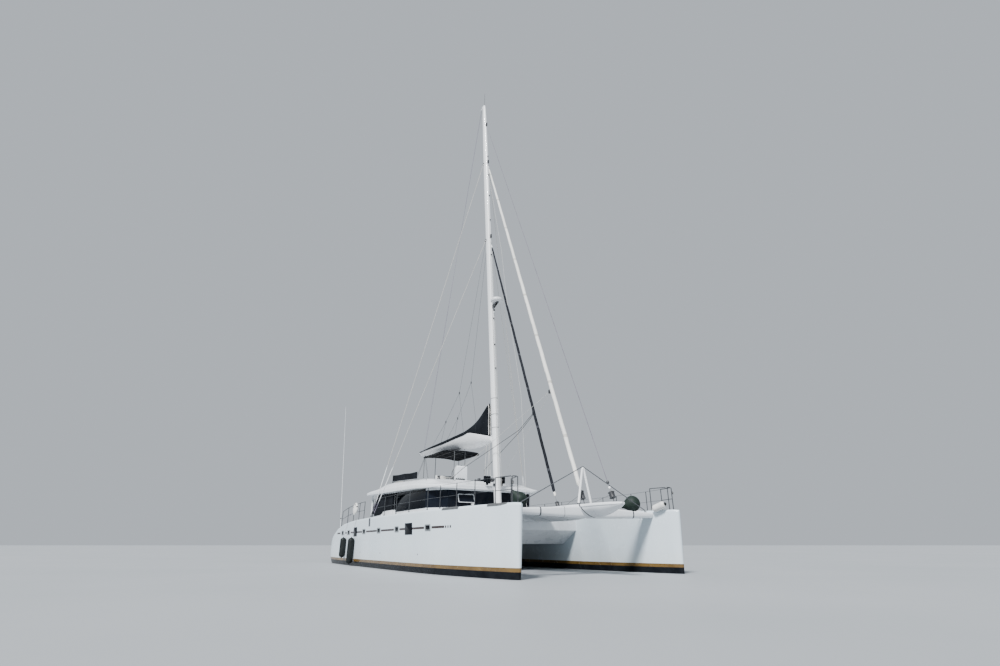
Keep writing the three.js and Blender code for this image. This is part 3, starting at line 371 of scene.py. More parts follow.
hull_gelcoat = hull_finish()
for side_name, side in SIDES:
    piece(
        f"hull_moulding_{side_name}", carved(hull_form(side), stair_cutter(side)), hull_gelcoat,
        instead=f"hull_{side_name}", bevel=0.014, sharp=40,
    )


# Bridgedeck: one white moulding between the hulls, with the cockpit well, its side decks and roof posts.
# It is glass fibre with rounded edges, and the foredeck and side decks have grey non-skid panels.
def deck_z(x):
    return eased(HULL_TABLE, x)[3]


def deck_half(x):
    return eased(HULL_TABLE, x)[1]


def softened(node, material, bevel, body="boat"):
    bm = bmesh.new()
    bm.from_mesh(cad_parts[node].data)
    bmesh.ops.remove_doubles(bm, verts=bm.verts, dist=1e-5)
    bmesh.ops.dissolve_limit(bm, angle_limit=radians(0.5), verts=bm.verts, edges=bm.edges)
    return piece(node + "_moulding", bm, material, body, node, bevel, sharp=25)


def panel(bm, xs, low_y, high_y, height, lift=0.004):
    edges = ((low_y, 0), (low_y, lift), (high_y, lift), (high_y, 0))
    fresh = loft([[Vector((x, edge(x), height(x) + up)) for edge, up in edges] for x in xs])
    mesh = bpy.data.meshes.new("panel")
    fresh.to_mesh(mesh)
    fresh.free()
    bm.from_mesh(mesh)
    bpy.data.meshes.remove(mesh)


white_gelcoat = finish(
    "white_gelcoat", (0.71, 0.74, 0.77), (0.76, 0.785, 0.81), patch=0.6, rough=(0.22, 0.34), grain=2.5,
    depth=0.003, Coat_Weight=0.3, Coat_Roughness=0.1,
)
non_skid = finish(
    "non_skid", (0.33, 0.35, 0.365), (0.39, 0.41, 0.425), patch=1.5, rough=(0.75, 0.85), grain=160,
    depth=0.003,
)
softened("bridgedeck", white_gelcoat, bevel=0.018)
DECK_TOP = 2.14
MARGIN = 0.17
TREAD_HALF = 0.56
deck_bm = bmesh.new()
for x0, x1, y0, y1 in (
    (1.75, 2.85, -2.2, -0.55), (1.75, 2.85, 0.55, 2.2), (3.05, 4.45, -0.45, 0.45),
    (3.05, 4.45, -2.25, -1.98), (3.05, 4.45, 1.98, 2.25),
):
    panel(deck_bm, (x0, x1), lambda x, y=y0: y, lambda x, y=y1: y, lambda x: DECK_TOP)
for z, x0, x1, y0, y1 in (
    (1.45, -6.62, -5.1, -2.05, 1.38), (1.45, -5.04, -3.5, -2.05, 1.38), (3.64, -4.88, -3.2, -1.45, 2.05),
    (3.64, -3.14, -1.6, -2.05, 2.05), (3.64, -1.54, -0.98, -2.05, 2.05),
):
    panel(deck_bm, (x0, x1), lambda x, y=y0: y, lambda x, y=y1: y, lambda x, z=z: z)
for _, side in SIDES:
    for x0, x1 in ((-5.9, -3.6), (-3.4, -1.2), (-1.0, 1.2), (1.4, 2.7), (3.5, 5.0), (5.2, 6.6), (6.8, 7.9)):
        panel(
            deck_bm, np.linspace(x0, x1, 9), lambda x: side * (HULL_Y - deck_half(x) + MARGIN),
            lambda x: side * (HULL_Y + deck_half(x) - MARGIN), deck_z,
        )
    for x, z in STERN_STEPS:
        panel(
            deck_bm, (x - 0.30, x - 0.04), lambda x: side * HULL_Y - TREAD_HALF,
            lambda x: side * HULL_Y + TREAD_HALF, lambda x, z=z: z,
        )
piece("deck_non_skid", deck_bm, non_skid)


# Crossbeam and prow: a light beam arched to the middle, and a shallow vee moulding that ends in a small prow.
# Both are painted white, the prow with a raised gunwale, and the joints are covered by dark straps.
BEAM_X = (8.08, 8.48)
# distance from the centre plane, underside, top
BEAM_TABLE = (
    (0, 1.80, 2.17), (0.42, 1.80, 2.17), (1.05, 1.805, 2.145), (2.40, 1.845, 2.075), (HULL_Y, 1.88, 2.04),
)
# x, half breadth, top, keel height
PROW_TABLE = (
    (4.60, 0.90, 2.19, 1.80), (6.40, 0.85, 2.20, 1.75), (7.60, 0.72, 2.215, 1.75), (8.08, 0.56, 2.23, 1.79),
    (8.60, 0.43, 2.235, 1.805), (9.15, 0.38, 2.24, 1.82), (9.45, 0.32, 2.242, 1.87),
    (9.78, 0.24, 2.242, 1.97),
    (10.05, 0.145, 2.235, 2.08), (10.165, 0.06, 2.22, 2.16),
)


def rounded(before, corner, after, radius, steps):
    start = corner + (before - corner).normalized() * min(radius, (before - corner).length * 0.45)
    end = corner + (after - corner).normalized() * min(radius, (after - corner).length * 0.45)
    return [
        start * (1 - t)**2 + corner * (2 * t * (1 - t)) + end * t**2
        for t in np.linspace(0, 1, steps + 1)
    ]


def filleted(outline, radius):
    points = [Vector(p) for p in outline]
    corners = zip([points[-1], *points[:-1]], points, [*points[1:], points[0]])
    return [p for corner in corners for p in rounded(*corner, radius, 4)]


def beam_section(y, out=0.0):
    _, low, top = eased(BEAM_TABLE, abs(y))
    x0, x1 = BEAM_X
    corners = [
        (x0 - out, low - out), (x1 - 0.05 + out, low - out), (x1 + out, low + 0.07), (x1 + out, top + out),
        (x0 - out, top + out),
    ]
    return [Vector((p.x, y, p.y)) for p in filleted(corners, 0.06 + out)]


def trough(half, top, low, power, lip, band):
    side = half - lip
    half_line = [
        (side * sin(t)**(2 / power), low + (top - band - low) * (1 - cos(t)**(2 / power)))
        for t in np.linspace(0, pi / 2, 12)
    ]
    round_ = min(0.03, half * 0.4, (top - low) * 0.3)
    half_line += [
        (half, top - band * 0.88), (half, top - round_), (half - round_ * 0.3, top - round_ * 0.3),
        (half - round_, top),
    ]
    return half_line + [(-y, z) for y, z in reversed(half_line[1:])]


def prow_section(x):
    _, half, top, low = eased(PROW_TABLE, x)
    deep = top - low
    return [
        Vector((x, y, z))
        for y, z in trough(half, top, low, 1.6, min(0.022, half * 0.1), min(0.09, deep * 0.6))
    ]


piece(
    "crossbeam_moulding", loft([beam_section(y) for y in np.linspace(-HULL_Y, HULL_Y, 49)]), white_gelcoat,
    instead="crossbeam", sharp=50,
)
piece(
    "prow_moulding",
    loft([prow_section(x) for x in (*np.linspace(4.602, 8.6, 20), *np.linspace(8.7, 10.165, 22))]),
    white_gelcoat, instead="longeron", sharp=50,
)
dark_webbing = finish(
    "dark_webbing", (0.015, 0.017, 0.02), (0.04, 0.042, 0.05), patch=20, rough=(0.7, 0.85), grain=300,
    depth=0.002,
)
strap_bm = bmesh.new()
for y, width in ((-2.06, 0.05), (-1.08, 0.012), (2.06, 0.05)):
    loft([beam_section(y + step, 0.004) for step in (-width / 2, width / 2)], strap_bm)
STRAP_X, STRAP_WIDE = 8.45, 0.05
slanted = []
upright = list(enumerate(prow_section(STRAP_X)))
for step in (0, STRAP_WIDE):
    slanted.append([prow_section(STRAP_X + step + 0.5 * (2.24 - p.z))[k] for k, p in upright])
loft([[Vector((p.x, p.y * 1.008, 2.05 + (p.z - 2.05) * 1.02)) for p in ring] for ring in slanted], strap_bm)
piece("beam_straps", strap_bm, dark_webbing)


# Striker: a white A-frame on the prow with a dark wire over its top, from one end of the beam to the other.
# The legs are painted tube on small feet, and the wire ends in toggles on the beam.
def rods(name, runs, material, body="boat", instead=None, sides=2, closed=False):
    curve = bpy.data.curves.new(name, "CURVE")
    curve.dimensions = "3D"
    curve.bevel_depth = 1
    curve.bevel_resolution = sides
    curve.use_fill_caps = not closed
    for radius, points in runs:
        line = curve.splines.new("POLY")
        line.points.add(len(points) - 1)
        line.use_cyclic_u = closed
        for k, (knot, point) in enumerate(zip(line.points, points)):
            knot.co = (*point, 1)
            knot.radius = radius[k] if isinstance(radius, (tuple, list)) else radius
    tube = bpy.data.objects.new(name, curve)
    bpy.context.scene.collection.objects.link(tube)
    mesh = bpy.data.meshes.new_from_object(evaluated(tube))
    bm = bmesh.new()
    bm.from_mesh(mesh)
    bpy.data.objects.remove(tube)
    bpy.data.curves.remove(curve)
    bpy.data.meshes.remove(mesh)
    return piece(name, bm, material, body, instead, sharp=50)


def bent(points, radius):
    points = [Vector(p) for p in points]
    made = [points[0]]
    for corner in zip(points, points[1:], points[2:]):
        made += rounded(*corner, radius, 5)
    return made + [points[-1]]


def block(bm, low, high, round_=0.0, turn=None, steps=2):
    low, high = Vector(low), Vector(high)
    verts = bmesh.ops.create_cube(bm, size=1)["verts"]
    size = Matrix.Diagonal((*(high - low), 1))
    place = Matrix.Translation((low + high) / 2) @ (turn or Matrix.Identity(4)) @ size
    bmesh.ops.transform(bm, matrix=place, verts=verts)
    if round_:
        edges = list({e for v in verts for e in v.link_edges})
        bmesh.ops.bevel(
            bm, geom=edges, offset=round_, segments=steps, profile=0.5, affect="EDGES", material=-1,
        )


def turned(bm, profile, at=(0, 0, 0), axis=(0, 0, 1), steps=24):
    known = set(bm.verts)
    verts = [bm.verts.new((radius, 0, height)) for radius, height in profile]
    edges = [bm.edges.new(pair) for pair in zip(verts, verts[1:])]
    bmesh.ops.spin(bm, geom=verts + edges, axis=(0, 0, 1), angle=2 * pi, steps=steps, use_merge=True)
    fresh = [v for v in bm.verts if v not in known]
    bmesh.ops.remove_doubles(bm, verts=fresh, dist=1e-6)
    fresh = [v for v in bm.verts if v not in known]
    place = Matrix.Translation(at) @ Vector((0, 0, 1)).rotation_difference(Vector(axis)).to_matrix().to_4x4()
    bmesh.ops.transform(bm, matrix=place, verts=fresh)


def pin(bm, radius, low, high, at, axis=(0, 0, 1), steps=12):
    turned(bm, ((0, low), (radius, low), (radius, high), (0, high)), at, axis, steps)


mast_paint = finish(
    "mast_paint", (0.72, 0.735, 0.75), (0.80, 0.81, 0.82), patch=0.35, rough=(0.25, 0.4), grain=3,
    depth=0.002, stretch=(3, 3, 0.3), Coat_Weight=0.2,
)
steel = finish(
    "polished_steel", (0.52, 0.53, 0.54), (0.66, 0.67, 0.68), patch=8, rough=(0.16, 0.3), grain=220,
    depth=0.0006, stretch=(1, 1, 0.2), Metallic=1.0,
)
dark_wire = finish(
    "dark_wire", (0.03, 0.033, 0.04), (0.075, 0.08, 0.09), patch=30, rough=(0.45, 0.6), grain=400,
    depth=0.001,
)
STRIKER = (8.25, 3.50)
WIRE_END_Y = 2.9
x, top = STRIKER
rods(
    "striker_legs",
    [(0.042, bent([(x, s * 0.30, 2.20), (x, s * 0.03, top - 0.02), (x, 0, top)], 0.03)) for s in (-1, 1)],
    mast_paint, instead="striker_frame", sides=4,
)
foot_bm = bmesh.new()
for s in (-1, 1):
    block(foot_bm, (x - 0.06, s * 0.30 - 0.06, 2.225), (x + 0.06, s * 0.30 + 0.06, 2.256), 0.008)
    turned(foot_bm, ((0.0, 0), (0.05, 0), (0.045, 0.05), (0.0, 0.06)), (x, s * 0.295, 2.25))
block(foot_bm, (x - 0.03, -0.022, top - 0.05), (x + 0.03, 0.022, top + 0.04), 0.01)
piece("striker_fittings", foot_bm, steel)
beam_top = eased(BEAM_TABLE, WIRE_END_Y)[2]
wire_ends = [(x, s * WIRE_END_Y, beam_top + 0.075) for s in (-1, 1)]
rods(
    "striker_wire", [(0.016, [wire_ends[0], (x, 0, top + 0.06), wire_ends[1]])], dark_wire,
    instead="striker_stay",
)
toggle_bm = bmesh.new()
for s in (-1, 1):
    y = s * WIRE_END_Y
    block(toggle_bm, (x - 0.022, y - 0.045, beam_top - 0.01), (x + 0.022, y + 0.045, beam_top + 0.09), 0.01)
    pin(toggle_bm, 0.012, -0.035, 0.035, (x, y, beam_top + 0.07), (1, 0, 0))
piece("striker_toggles", toggle_bm, steel)


# Trampolines: grey nets laced between the beam, the hulls, the prow and the foredeck.
# Each is knotted cord at a 60 mm pitch inside a webbing border, and hangs a little in the middle.
NET_Z = 2.077
PITCH = 0.06
CORD, BORDER, LACING = 0.004, 0.016, 0.005
net_cord = finish(
    "net_cord", (0.36, 0.38, 0.40), (0.48, 0.50, 0.52), patch=3, rough=(0.8, 0.9), grain=300, depth=0.002,
)
for side_name, side in SIDES:
    inner = lambda x: eased(PROW_TABLE, x)[1] + 0.05
    outer = lambda x: HULL_Y - deck_half(x) - 0.04
    x_low, x_high = 4.66, 8.03

    def at(x, y, lift=0.0):
        along = (x - x_low) / (x_high - x_low)
        across = (min(max(y, inner(x)), outer(x)) - inner(x)) / (outer(x) - inner(x))
        return x, side * y, NET_Z + lift - 0.035 * sin(pi * along) * sin(pi * across)

    runs = []
    for x in np.arange(x_low, x_high, PITCH):
        runs.append((CORD, [at(x, y) for y in np.linspace(inner(x), outer(x), 9)]))
    for y in np.arange(0.4, outer(x_high), PITCH):
        inside = [x for x in np.linspace(x_low, x_high, 57) if inner(x) < y < outer(x)]
        if len(inside) > 2:
            runs.append((CORD, [at(x, y, CORD) for x in inside[::3] + inside[-1:]]))
    steps = np.linspace(x_low, x_high, 15)
    for line in (inner, outer):
        runs.append((BORDER, [at(x, line(x)) for x in steps]))
    for x in (x_low, x_high):
        runs.append((BORDER, [at(x, y) for y in np.linspace(inner(x), outer(x), 9)]))
    for x in np.arange(x_low + 0.05, x_high, 0.16):
        runs.append((LACING, [at(x, inner(x)), (x + 0.05, side * (inner(x) - 0.045), NET_Z + 0.01)]))
        runs.append((LACING, [at(x, outer(x)), (x + 0.05, side * (outer(x) + 0.035), NET_Z + 0.01)]))
    rods(f"trampoline_net_{side_name}", runs, net_cord, instead=f"trampoline_{side_name}", sides=0)


# Coachroof: a white shell over saloon and cockpit, high at the flybridge and low at its ends.
# Its sides have a crease above the edge band, and the flybridge well and its stair hatch are cut through it.
# x, half breadth, underside, edge height, crown height
ROOF_TABLE = (
    (-7.56, 2.95, 3.55, 3.64, 3.70), (-7.30, 3.11, 3.54, 3.68, 3.80), (-6.30, 3.15, 3.50, 3.71, 3.95),
    (-5.40, 3.15, 3.47, 3.715, 4.035), (-4.50, 3.15, 3.44, 3.71, 4.03), (-2.50, 3.12, 3.39, 3.68, 3.94),
    (-1.20, 3.08, 3.36, 3.64, 3.885), (-0.50, 3.06, 3.345, 3.60, 3.85), (0.30, 3.00, 3.31, 3.54, 3.765),
    (0.90, 2.90, 3.29, 3.47, 3.60), (1.40, 2.74, 3.27, 3.42, 3.50), (1.70, 2.48, 3.255, 3.385, 3.44),
    (1.83, 2.15, 3.25, 3.355, 3.395),
)
FLY = ((-5.60, -2.15), (-0.90, 2.15), 3.64)


def roof_section(x):
    _, half, low, edge, crown = eased(ROOF_TABLE, x)
    thick, rise = edge - low, crown - edge
    side = [
        (half - 0.06, low), (half - 0.012, low + 0.1 * thick), (half, low + 0.4 * thick),
        (half - 0.004, edge - 0.28 * thick),
        (half - 0.02, edge - 0.1 * thick), (half - 0.05, edge), (half * 0.918, edge + 0.17 * rise),
        (half * 0.912, edge + 0.24 * rise),
        (half * 0.88, edge + 0.5 * rise), (half * 0.835, edge + 0.84 * rise),
        (half * 0.815, edge + 0.95 * rise),
        (half * 0.79, crown), (half * 0.74, crown + 0.008), (half * 0.4, crown + 0.16 * rise),
    ]
    return [Vector((x, y, z)) for y, z in side + [(-y, z) for y, z in reversed(side)]]


def roof_z(x, y):
    side = roof_section(x)[:14]
    y = abs(y)
    for a, b in zip(side[5:], side[6:]):
        if b.y <= y <= a.y:
            return a.z + (b.z - a.z) * (a.y - y) / max(a.y - b.y, 1e-6)
    return side[-1].z


xs = [
    *np.linspace(-7.56, -7.3, 5), *np.linspace(-7.1, 0.3, 34), *np.linspace(0.45, 1.4, 9),
    *np.linspace(1.5, 1.83, 6),
]
well, hatch = bmesh.new(), bmesh.new()
(fly_x0, fly_y0), (fly_x1, fly_y1), fly_floor = FLY
block(well, (fly_x0, fly_y0, fly_floor), (fly_x1, fly_y1, 4.7))
block(hatch, (fly_x0 + 0.02, 1.25, 3.0), (fly_x0 + 1.10, fly_y1 - 0.02, 4.7))
piece(
    "roof_moulding", carved(loft([roof_section(x) for x in xs]), well, hatch), white_gelcoat,
    instead="coachroof", bevel=0.022, sharp=40, rounds=3,
)


# Saloon: white walls with cut windows behind one dark wrap-round screen of tinted acrylic.
# The screen is bonded outside the walls, with a black back along the sides, and one front window opens.
def glass_finish(name, tint, through, gleam=0.05):
    made, tree, shader, place = blank(name)
    wire(tree, shader, {
        "Base Color": two_tone(tree, noise(tree, place, 0.8, 2), tint, [k * 1.4 for k in tint]),
        "Roughness": ranged(tree, noise(tree, place, 5, 2), 0.03, 0.07),
        "Transmission Weight": through,
        "IOR": 1.49,
        "Specular IOR Level": gleam,
    })
    bump(tree, shader, noise(tree, place, 1.5, 1), 0.002, 0.1)
    return made


tinted = glass_finish("tinted_acrylic", (0.006, 0.008, 0.013), 0.12)
backed = glass_finish("black_backed_acrylic", (0.003, 0.004, 0.006), 0.01)
for node in ("saloon_wall_starboard", "saloon_wall_port", "saloon_wall_front", "saloon_wall_aft"):
    softened(node, white_gelcoat, bevel=0.008)
for node, pane in (
    ("saloon_glass_starboard", backed), ("saloon_glass_port", backed), ("saloon_glass_front", tinted),
):
    softened(node, pane, bevel=0.003)


# Window surrounds: dark acrylic strips over the side walls, from the glass to the roof and to the cockpit.
# They are bonded flush with the glass, so that the side reads as one dark band.
STRIP_Y = (2.8004, 2.8120)
STRIP_FOOT = 3.232
bm = bmesh.new()
for side in (-1, 1):
    low_y, high_y = sorted(side * y for y in STRIP_Y)
    rings = []
    for x in np.linspace(-3.235, 0.575, 14):
        head_z = eased(ROOF_TABLE, x)[2] - 0.003
        outline = ((low_y, STRIP_FOOT), (high_y, STRIP_FOOT), (high_y, head_z), (low_y, head_z))
        rings.append([Vector((x, y, z)) for y, z in outline])
    loft(rings, bm)
    block(bm, (-3.400, low_y, 2.590), (-3.2405, high_y, 3.408), 0.002)
piece("window_surrounds", bm, backed)


# Mast: a white painted alloy tube, raked aft, that tapers to a rounded head with a short crane.
# Fittings on its front face, thin bands and the step collar are separate pieces.
MAST_FOOT = Vector((2.25, 0, 2.15))
MAST_TOP = Vector((0.35, 0, 27.84))
MAST_DEEP, MAST_WIDE = 0.21, 0.15
MAST_TABLE = ((2.16, 1), (21.0, 1), (26.4, 0.8), (27.6, 0.62), (27.84, 0.5))


def mast_x(z):
    return MAST_FOOT.x + (z - MAST_FOOT.z) / (MAST_TOP.z - MAST_FOOT.z) * (MAST_TOP.x - MAST_FOOT.x)


def mast_ring(z, scale=None, out=0.0):
    scale = scale or eased(MAST_TABLE, z)[1]
    deep, wide = MAST_DEEP * scale + out, MAST_WIDE * scale + out
    return [Vector((mast_x(z) + deep * cos(a), wide * sin(a), z)) for a in around(32)]


def mast_front(z):
    return mast_x(z) + MAST_DEEP * eased(MAST_TABLE, z)[1]


heights = [*np.linspace(2.16, 21, 12), *np.linspace(22, 27.6, 12)]
head = [mast_ring(z, s) for z, s in ((27.72, 0.56), (27.80, 0.44), (27.85, 0.25), (27.865, 0.08))]
mast_bm = loft([mast_ring(z) for z in heights] + head)
block(mast_bm, (-0.03, -0.05, 27.70), (0.45, 0.05, 27.79), 0.02)
back = mast_x(5.64)
for z in (5.48, 5.74):
    block(mast_bm, (back - 0.37, -0.045, z), (back - 0.15, 0.045, z + 0.06), 0.008)
piece("mast_tube", mast_bm, mast_paint, instead="mast", sharp=40)
black_metal = finish(
    "black_anodised", (0.018, 0.019, 0.022), (0.04, 0.042, 0.047), patch=9, rough=(0.35, 0.5), grain=250,
    depth=0.0008, Coat_Weight=0.2,
)
fit_bm = bmesh.new()
loft([mast_ring(2.15, 1.22), mast_ring(2.20, 1.18), mast_ring(2.22, 1.02)], fit_bm)
for z in (23.2, 21.7, 20.1, 18.3, 15.9, 11.9, 10.4, 9.1):
    front = mast_front(z)
    block(fit_bm, (front - 0.01, -0.03, z - 0.02), (front + 0.06, 0.03, z + 0.03), 0.008)
for z in (25.95, 22.75, 17.15):
    front = mast_front(z)
    block(fit_bm, (front - 0.03, -0.04, z - 0.12), (front + 0.10, 0.04, z + 0.12), 0.02)
turned(fit_bm, ((0, 0), (0.02, 0), (0.012, 0.05), (0.009, 1.04), (0, 1.045)), (0.40, 0, 27.83), steps=10)
for z in np.arange(5.95, 7.5, 0.17):
    back = mast_x(z) - MAST_DEEP
    block(fit_bm, (back - 0.05, -0.03, z - 0.045), (back + 0.02, 0.03, z + 0.045), 0.01)
piece("mast_fittings", fit_bm, black_metal)
band_bm = bmesh.new()
for z in (7.55, 6.75, 6.10):
    loft([mast_ring(z - 0.012, out=0.003), mast_ring(z + 0.012, out=0.003)], band_bm)
piece("mast_bands", band_bm, black_metal)


# Boom: a deep white vee-bottomed spar on a pin behind the mast, with a flat tray for the sail.
# It is painted carbon or alloy, thin at its aft end, with an end cap and an eye under it.
# x, half breadth, top, keel height
BOOM_TABLE = (
    (-7.05, 0.13, 6.15, 6.03), (-6.90, 0.23, 6.17, 5.96), (-3.50, 0.40, 6.12, 5.74),
    (-1.50, 0.42, 6.16, 5.59), (-0.20, 0.43, 6.17, 5.44), (0.70, 0.40, 5.99, 5.40),
    (1.30, 0.26, 5.83, 5.44), (1.56, 0.11, 5.77, 5.53),
)
PIN_X, PIN_Z = 1.6619, 5.64


def boom_section(x):
    _, half, top, low = eased(BOOM_TABLE, x)
    return [Vector((x, y, z)) for y, z in trough(half, top, low, 1.75, 0.006, 0.03)]


boom_bm = loft(
    [
        boom_section(x)
        for x in (*np.linspace(-7.05, -6.9, 4), *np.linspace(-6.7, 0.4, 26), *np.linspace(0.55, 1.56, 11))
    ]
)
block(boom_bm, (1.45, -0.04, 5.55), (PIN_X, 0.04, 5.73), 0.012)
pin(boom_bm, 0.038, -0.0995, 0.0995, (PIN_X, 0, PIN_Z), steps=24)
piece("boom_spar", boom_bm, mast_paint, "boom", "boom", sharp=45)


# Sail cover: a black canvas bag over the lowered sail, low along the boom and swept up to the mast.
# It is an open sheet hung over the stack, with taped edges and seams every metre or so.
# x, half breadth, ridge height
COVER_TABLE = (
    (-6.80, 0.150, 6.26), (-5.00, 0.28, 6.32), (-3.00, 0.35, 6.36), (-1.00, 0.37, 6.43), (-0.45, 0.37, 6.50),
    (0.06, 0.35, 6.66), (0.45, 0.30, 6.87), (0.80, 0.23, 7.11), (1.15, 0.15, 7.34), (1.40, 0.08, 7.44),
)


def weave_finish(
    name, dark, light, thread=420, depth=0.0012, rough=(0.75, 0.88), sheen=0.25, patch=1.3, gloss=0.4,
):
    made, tree, shader, place = blank(name)
    wire(tree, shader, {
        "Base Color": two_tone(tree, noise(tree, place, patch, 5), dark, light),
        "Roughness": ranged(tree, noise(tree, place, patch * 5, 2), *rough),
        "Sheen Weight": sheen,
        "Sheen Roughness": 0.5,
        "Specular IOR Level": gloss,
    })
    wave = {"Vector": place, "Scale": thread / 6.28, "Distortion": 0.3}
    heights = [add(tree, "TexWave", wave, bands_direction=axis).outputs["Fac"] for axis in "XYZ"]
    crossed = reckoned(tree, "ADD", heights[0], heights[1])
    crossed = reckoned(tree, "ADD", crossed, heights[2])
    folds = reckoned(tree, "MULTIPLY", noise(tree, place, 5, 3), 4.0)
    bump(tree, shader, reckoned(tree, "ADD", crossed, folds), depth)
    return made


def cover_line(x):
    _, half, ridge = eased(COVER_TABLE, x)
    low = eased(BOOM_TABLE, x)[2] + 0.004
    rise = ridge - low
    shape = [
        (0.90, 0), (0.99, 0.08), (1.02, 0.30), (0.97, 0.48), (0.85, 0.62), (0.68, 0.74), (0.46, 0.86),
        (0.26, 0.95), (0.1, 0.99), (0, 1.0),
    ]
    sag = 0.012 * sin(7.3 * x) + 0.008 * sin(17 * x + 1)
    side = [(y * half * (1 - sag * 1.6 * sin(pi * z)), low + z * rise * (1 + sag * 0.4)) for y, z in shape]
    return [Vector((x, y, z)) for y, z in side] + [Vector((x, -y, z)) for y, z in reversed(side[:-1])]


black_canvas = weave_finish(
    "black_canvas", (0.004, 0.005, 0.007), (0.010, 0.012, 0.016), sheen=0.0, gloss=0.08,
)
cover = piece(
    "sail_cover_cloth", loft([cover_line(x) for x in np.linspace(-6.8, 1.4, 83)], closed=False), black_canvas,
    "boom", "sail_cover", sharp=80, thick=0.003,
)


# Canopy: a black cloth roof over the helm on five poles, drawn tight over arched bows.
# The poles are grey tube, two of them against the console, and the bows and rails are painted black as
# painted shade under the cloth.
grey_alloy = finish(
    "grey_alloy", (0.10, 0.105, 0.11), (0.17, 0.175, 0.18), patch=7, rough=(0.42, 0.55), grain=260,
    depth=0.0008, Metallic=0.6,
)
CANOPY = (-4.30, -1.40, 1.11, 5.424)
POLES = ((-1.43, -0.4675), (-1.43, 0.1475), (-4.00, -1.06), (-4.28, -0.26), (-4.00, 1.06))
x0, x1, half, bow_z = CANOPY
arch = lambda y: bow_z + 0.072 * (1 - (y / half)**2)
CORNER = 0.34
wide = lambda x: half - CORNER + sqrt(max(0, CORNER**2 - max(0, CORNER - min(x - x0, x1 - x))**2))
poles = [(0.017, [(x, y, fly_floor), (x, y, arch(y))]) for x, y in POLES]
rods("canopy_poles", poles, grey_alloy, instead="canopy_frame", sides=3)
bows = (x0 + 0.03, -3.30, -2.30, x1 - 0.02)
runs = [(0.015, [(x, y, arch(y)) for y in np.linspace(0.02 - wide(x), wide(x) - 0.02, 13)]) for x in bows]
for y, short in ((-0.4675, 0.01), (0.1475, 0.01), (-1.06, 0.21), (1.06, 0.21)):
    runs.append((0.012, [(x0 + short, y, arch(y) - 0.014), (x1 - short, y, arch(y) - 0.014)]))
# painted shade: the bows and rails under the cloth are black for the shade they sit in
rods("canopy_tubes", runs, black_metal, instead="canopy_frame", sides=3)
foot_bm = bmesh.new()
for x, y in POLES:
    turned(
        foot_bm, ((0, 0), (0.045, 0), (0.045, 0.008), (0.024, 0.016), (0.024, 0.05), (0, 0.05)),
        (x, y, fly_floor + 0.001), steps=16,
    )
piece("canopy_feet", foot_bm, steel)


def canopy_height(x, y):
    bay = next(k for k in range(len(bows) - 1) if x <= bows[k + 1] or k == len(bows) - 2)
    share = min(max((x - bows[bay]) / (bows[bay + 1] - bows[bay]), 0), 1)
    return arch(y) + 0.021 - 0.016 * sin(pi * share) * (1 - 0.4 * (y / half)**2)


rows = [
    [Vector((x, y, canopy_height(x, y))) for y in np.linspace(-wide(x), wide(x), 25)]
    for x in (
        x0, *[x0 + d for d in (0.01, 0.04, 0.09, 0.16, 0.24)], *np.linspace(x0 + CORNER, x1 - CORNER, 27),
        *[x1 - d for d in (0.24, 0.16, 0.09, 0.04, 0.01)], x1,
    )
]
for row in rows:
    row[:0] = [row[0] - Vector((0, 0.0, 0.045))]
    row.append(row[-1] - Vector((0, 0.0, 0.045)))
canopy_cloth = piece(
    "canopy_cloth", loft(rows, closed=False), black_canvas, instead="canopy", sharp=70,
    thick=0.003,
)


# Portlights: small opening lights in grey frames along both flanks, and two larger fixed dark panes.
# Frames are plastic bonded into the flank, and the panes are tinted acrylic that follows its curve.
FLANK_RAKE = 0.18


def breadth(x, z):
    _, deck, water, top, low = eased(HULL_TABLE, x)
    level = max(0.04, low + 0.06)
    chine = low + 0.9 * (level - low)
    knuckle = level + 0.45 * (top - level)
    t = min(max((z - chine) / (knuckle - chine), 0), 1)
    return water + (deck - water) * (1 - (1 - t)**2)


def on_flank(side, x, z, out=0.0):
    return Vector((x, side * (HULL_Y + breadth(x, z) + out), z))


def flank_ring(side, x, z, long, high, out, radius=0.03):
    corners = [
        (x - long / 2, z - high / 2), (x + long / 2, z - high / 2), (x + long / 2, z + high / 2),
        (x - long / 2, z + high / 2),
    ]
    return [on_flank(side, p.x - FLANK_RAKE * (p.y - z), p.y, out) for p in filleted(corners, radius)]


def flank_pad(bm, side, x, z, long, high, out, radius=0.02):
    rings = ((0, -0.02), (0, out * 0.6), (0.006, out))
    loft([
        flank_ring(side, x, z, long - 2 * shrink, high - 2 * shrink, reach, radius)
        for shrink, reach in rings
    ], bm)


pale_plastic = finish(
    "pale_plastic", (0.42, 0.45, 0.47), (0.52, 0.55, 0.57), patch=6, rough=(0.4, 0.5), grain=300,
    depth=0.0005,
)
grey_plastic = finish(
    "grey_plastic", (0.16, 0.18, 0.19), (0.22, 0.24, 0.25), patch=6, rough=(0.4, 0.5), grain=300,
    depth=0.0005,
)
LIGHTS = ((-6.54, 1.53), (-5.38, 1.53), (-2.76, 1.53), (-0.60, 1.53), (1.66, 1.53), (4.65, 1.52))
PANES = ((-4.20, 1.54, 0.58, 0.43), (2.93, 1.515, 0.73, 0.43))
frame_bm, pane_bm = bmesh.new(), bmesh.new()
for _, side in SIDES:
    for x, z in LIGHTS:
        sizes = (
            (0.44, 0.23, -0.02), (0.44, 0.23, 0.008), (0.425, 0.215, 0.014), (0.355, 0.155, 0.014),
            (0.345, 0.145, 0.002),
        )
        loft([flank_ring(side, x, z, long, high, out) for long, high, out in sizes], frame_bm)
        flank_pad(pane_bm, side, x, z, 0.348, 0.148, 0.006)
        for step in (-0.10, 0.10):
            flank_pad(frame_bm, side, x + step, z - 0.058, 0.03, 0.014, 0.013, 0.004)
    for x, z, long, high in PANES:
        flank_pad(pane_bm, side, x, z, long, high, 0.007, 0.012)
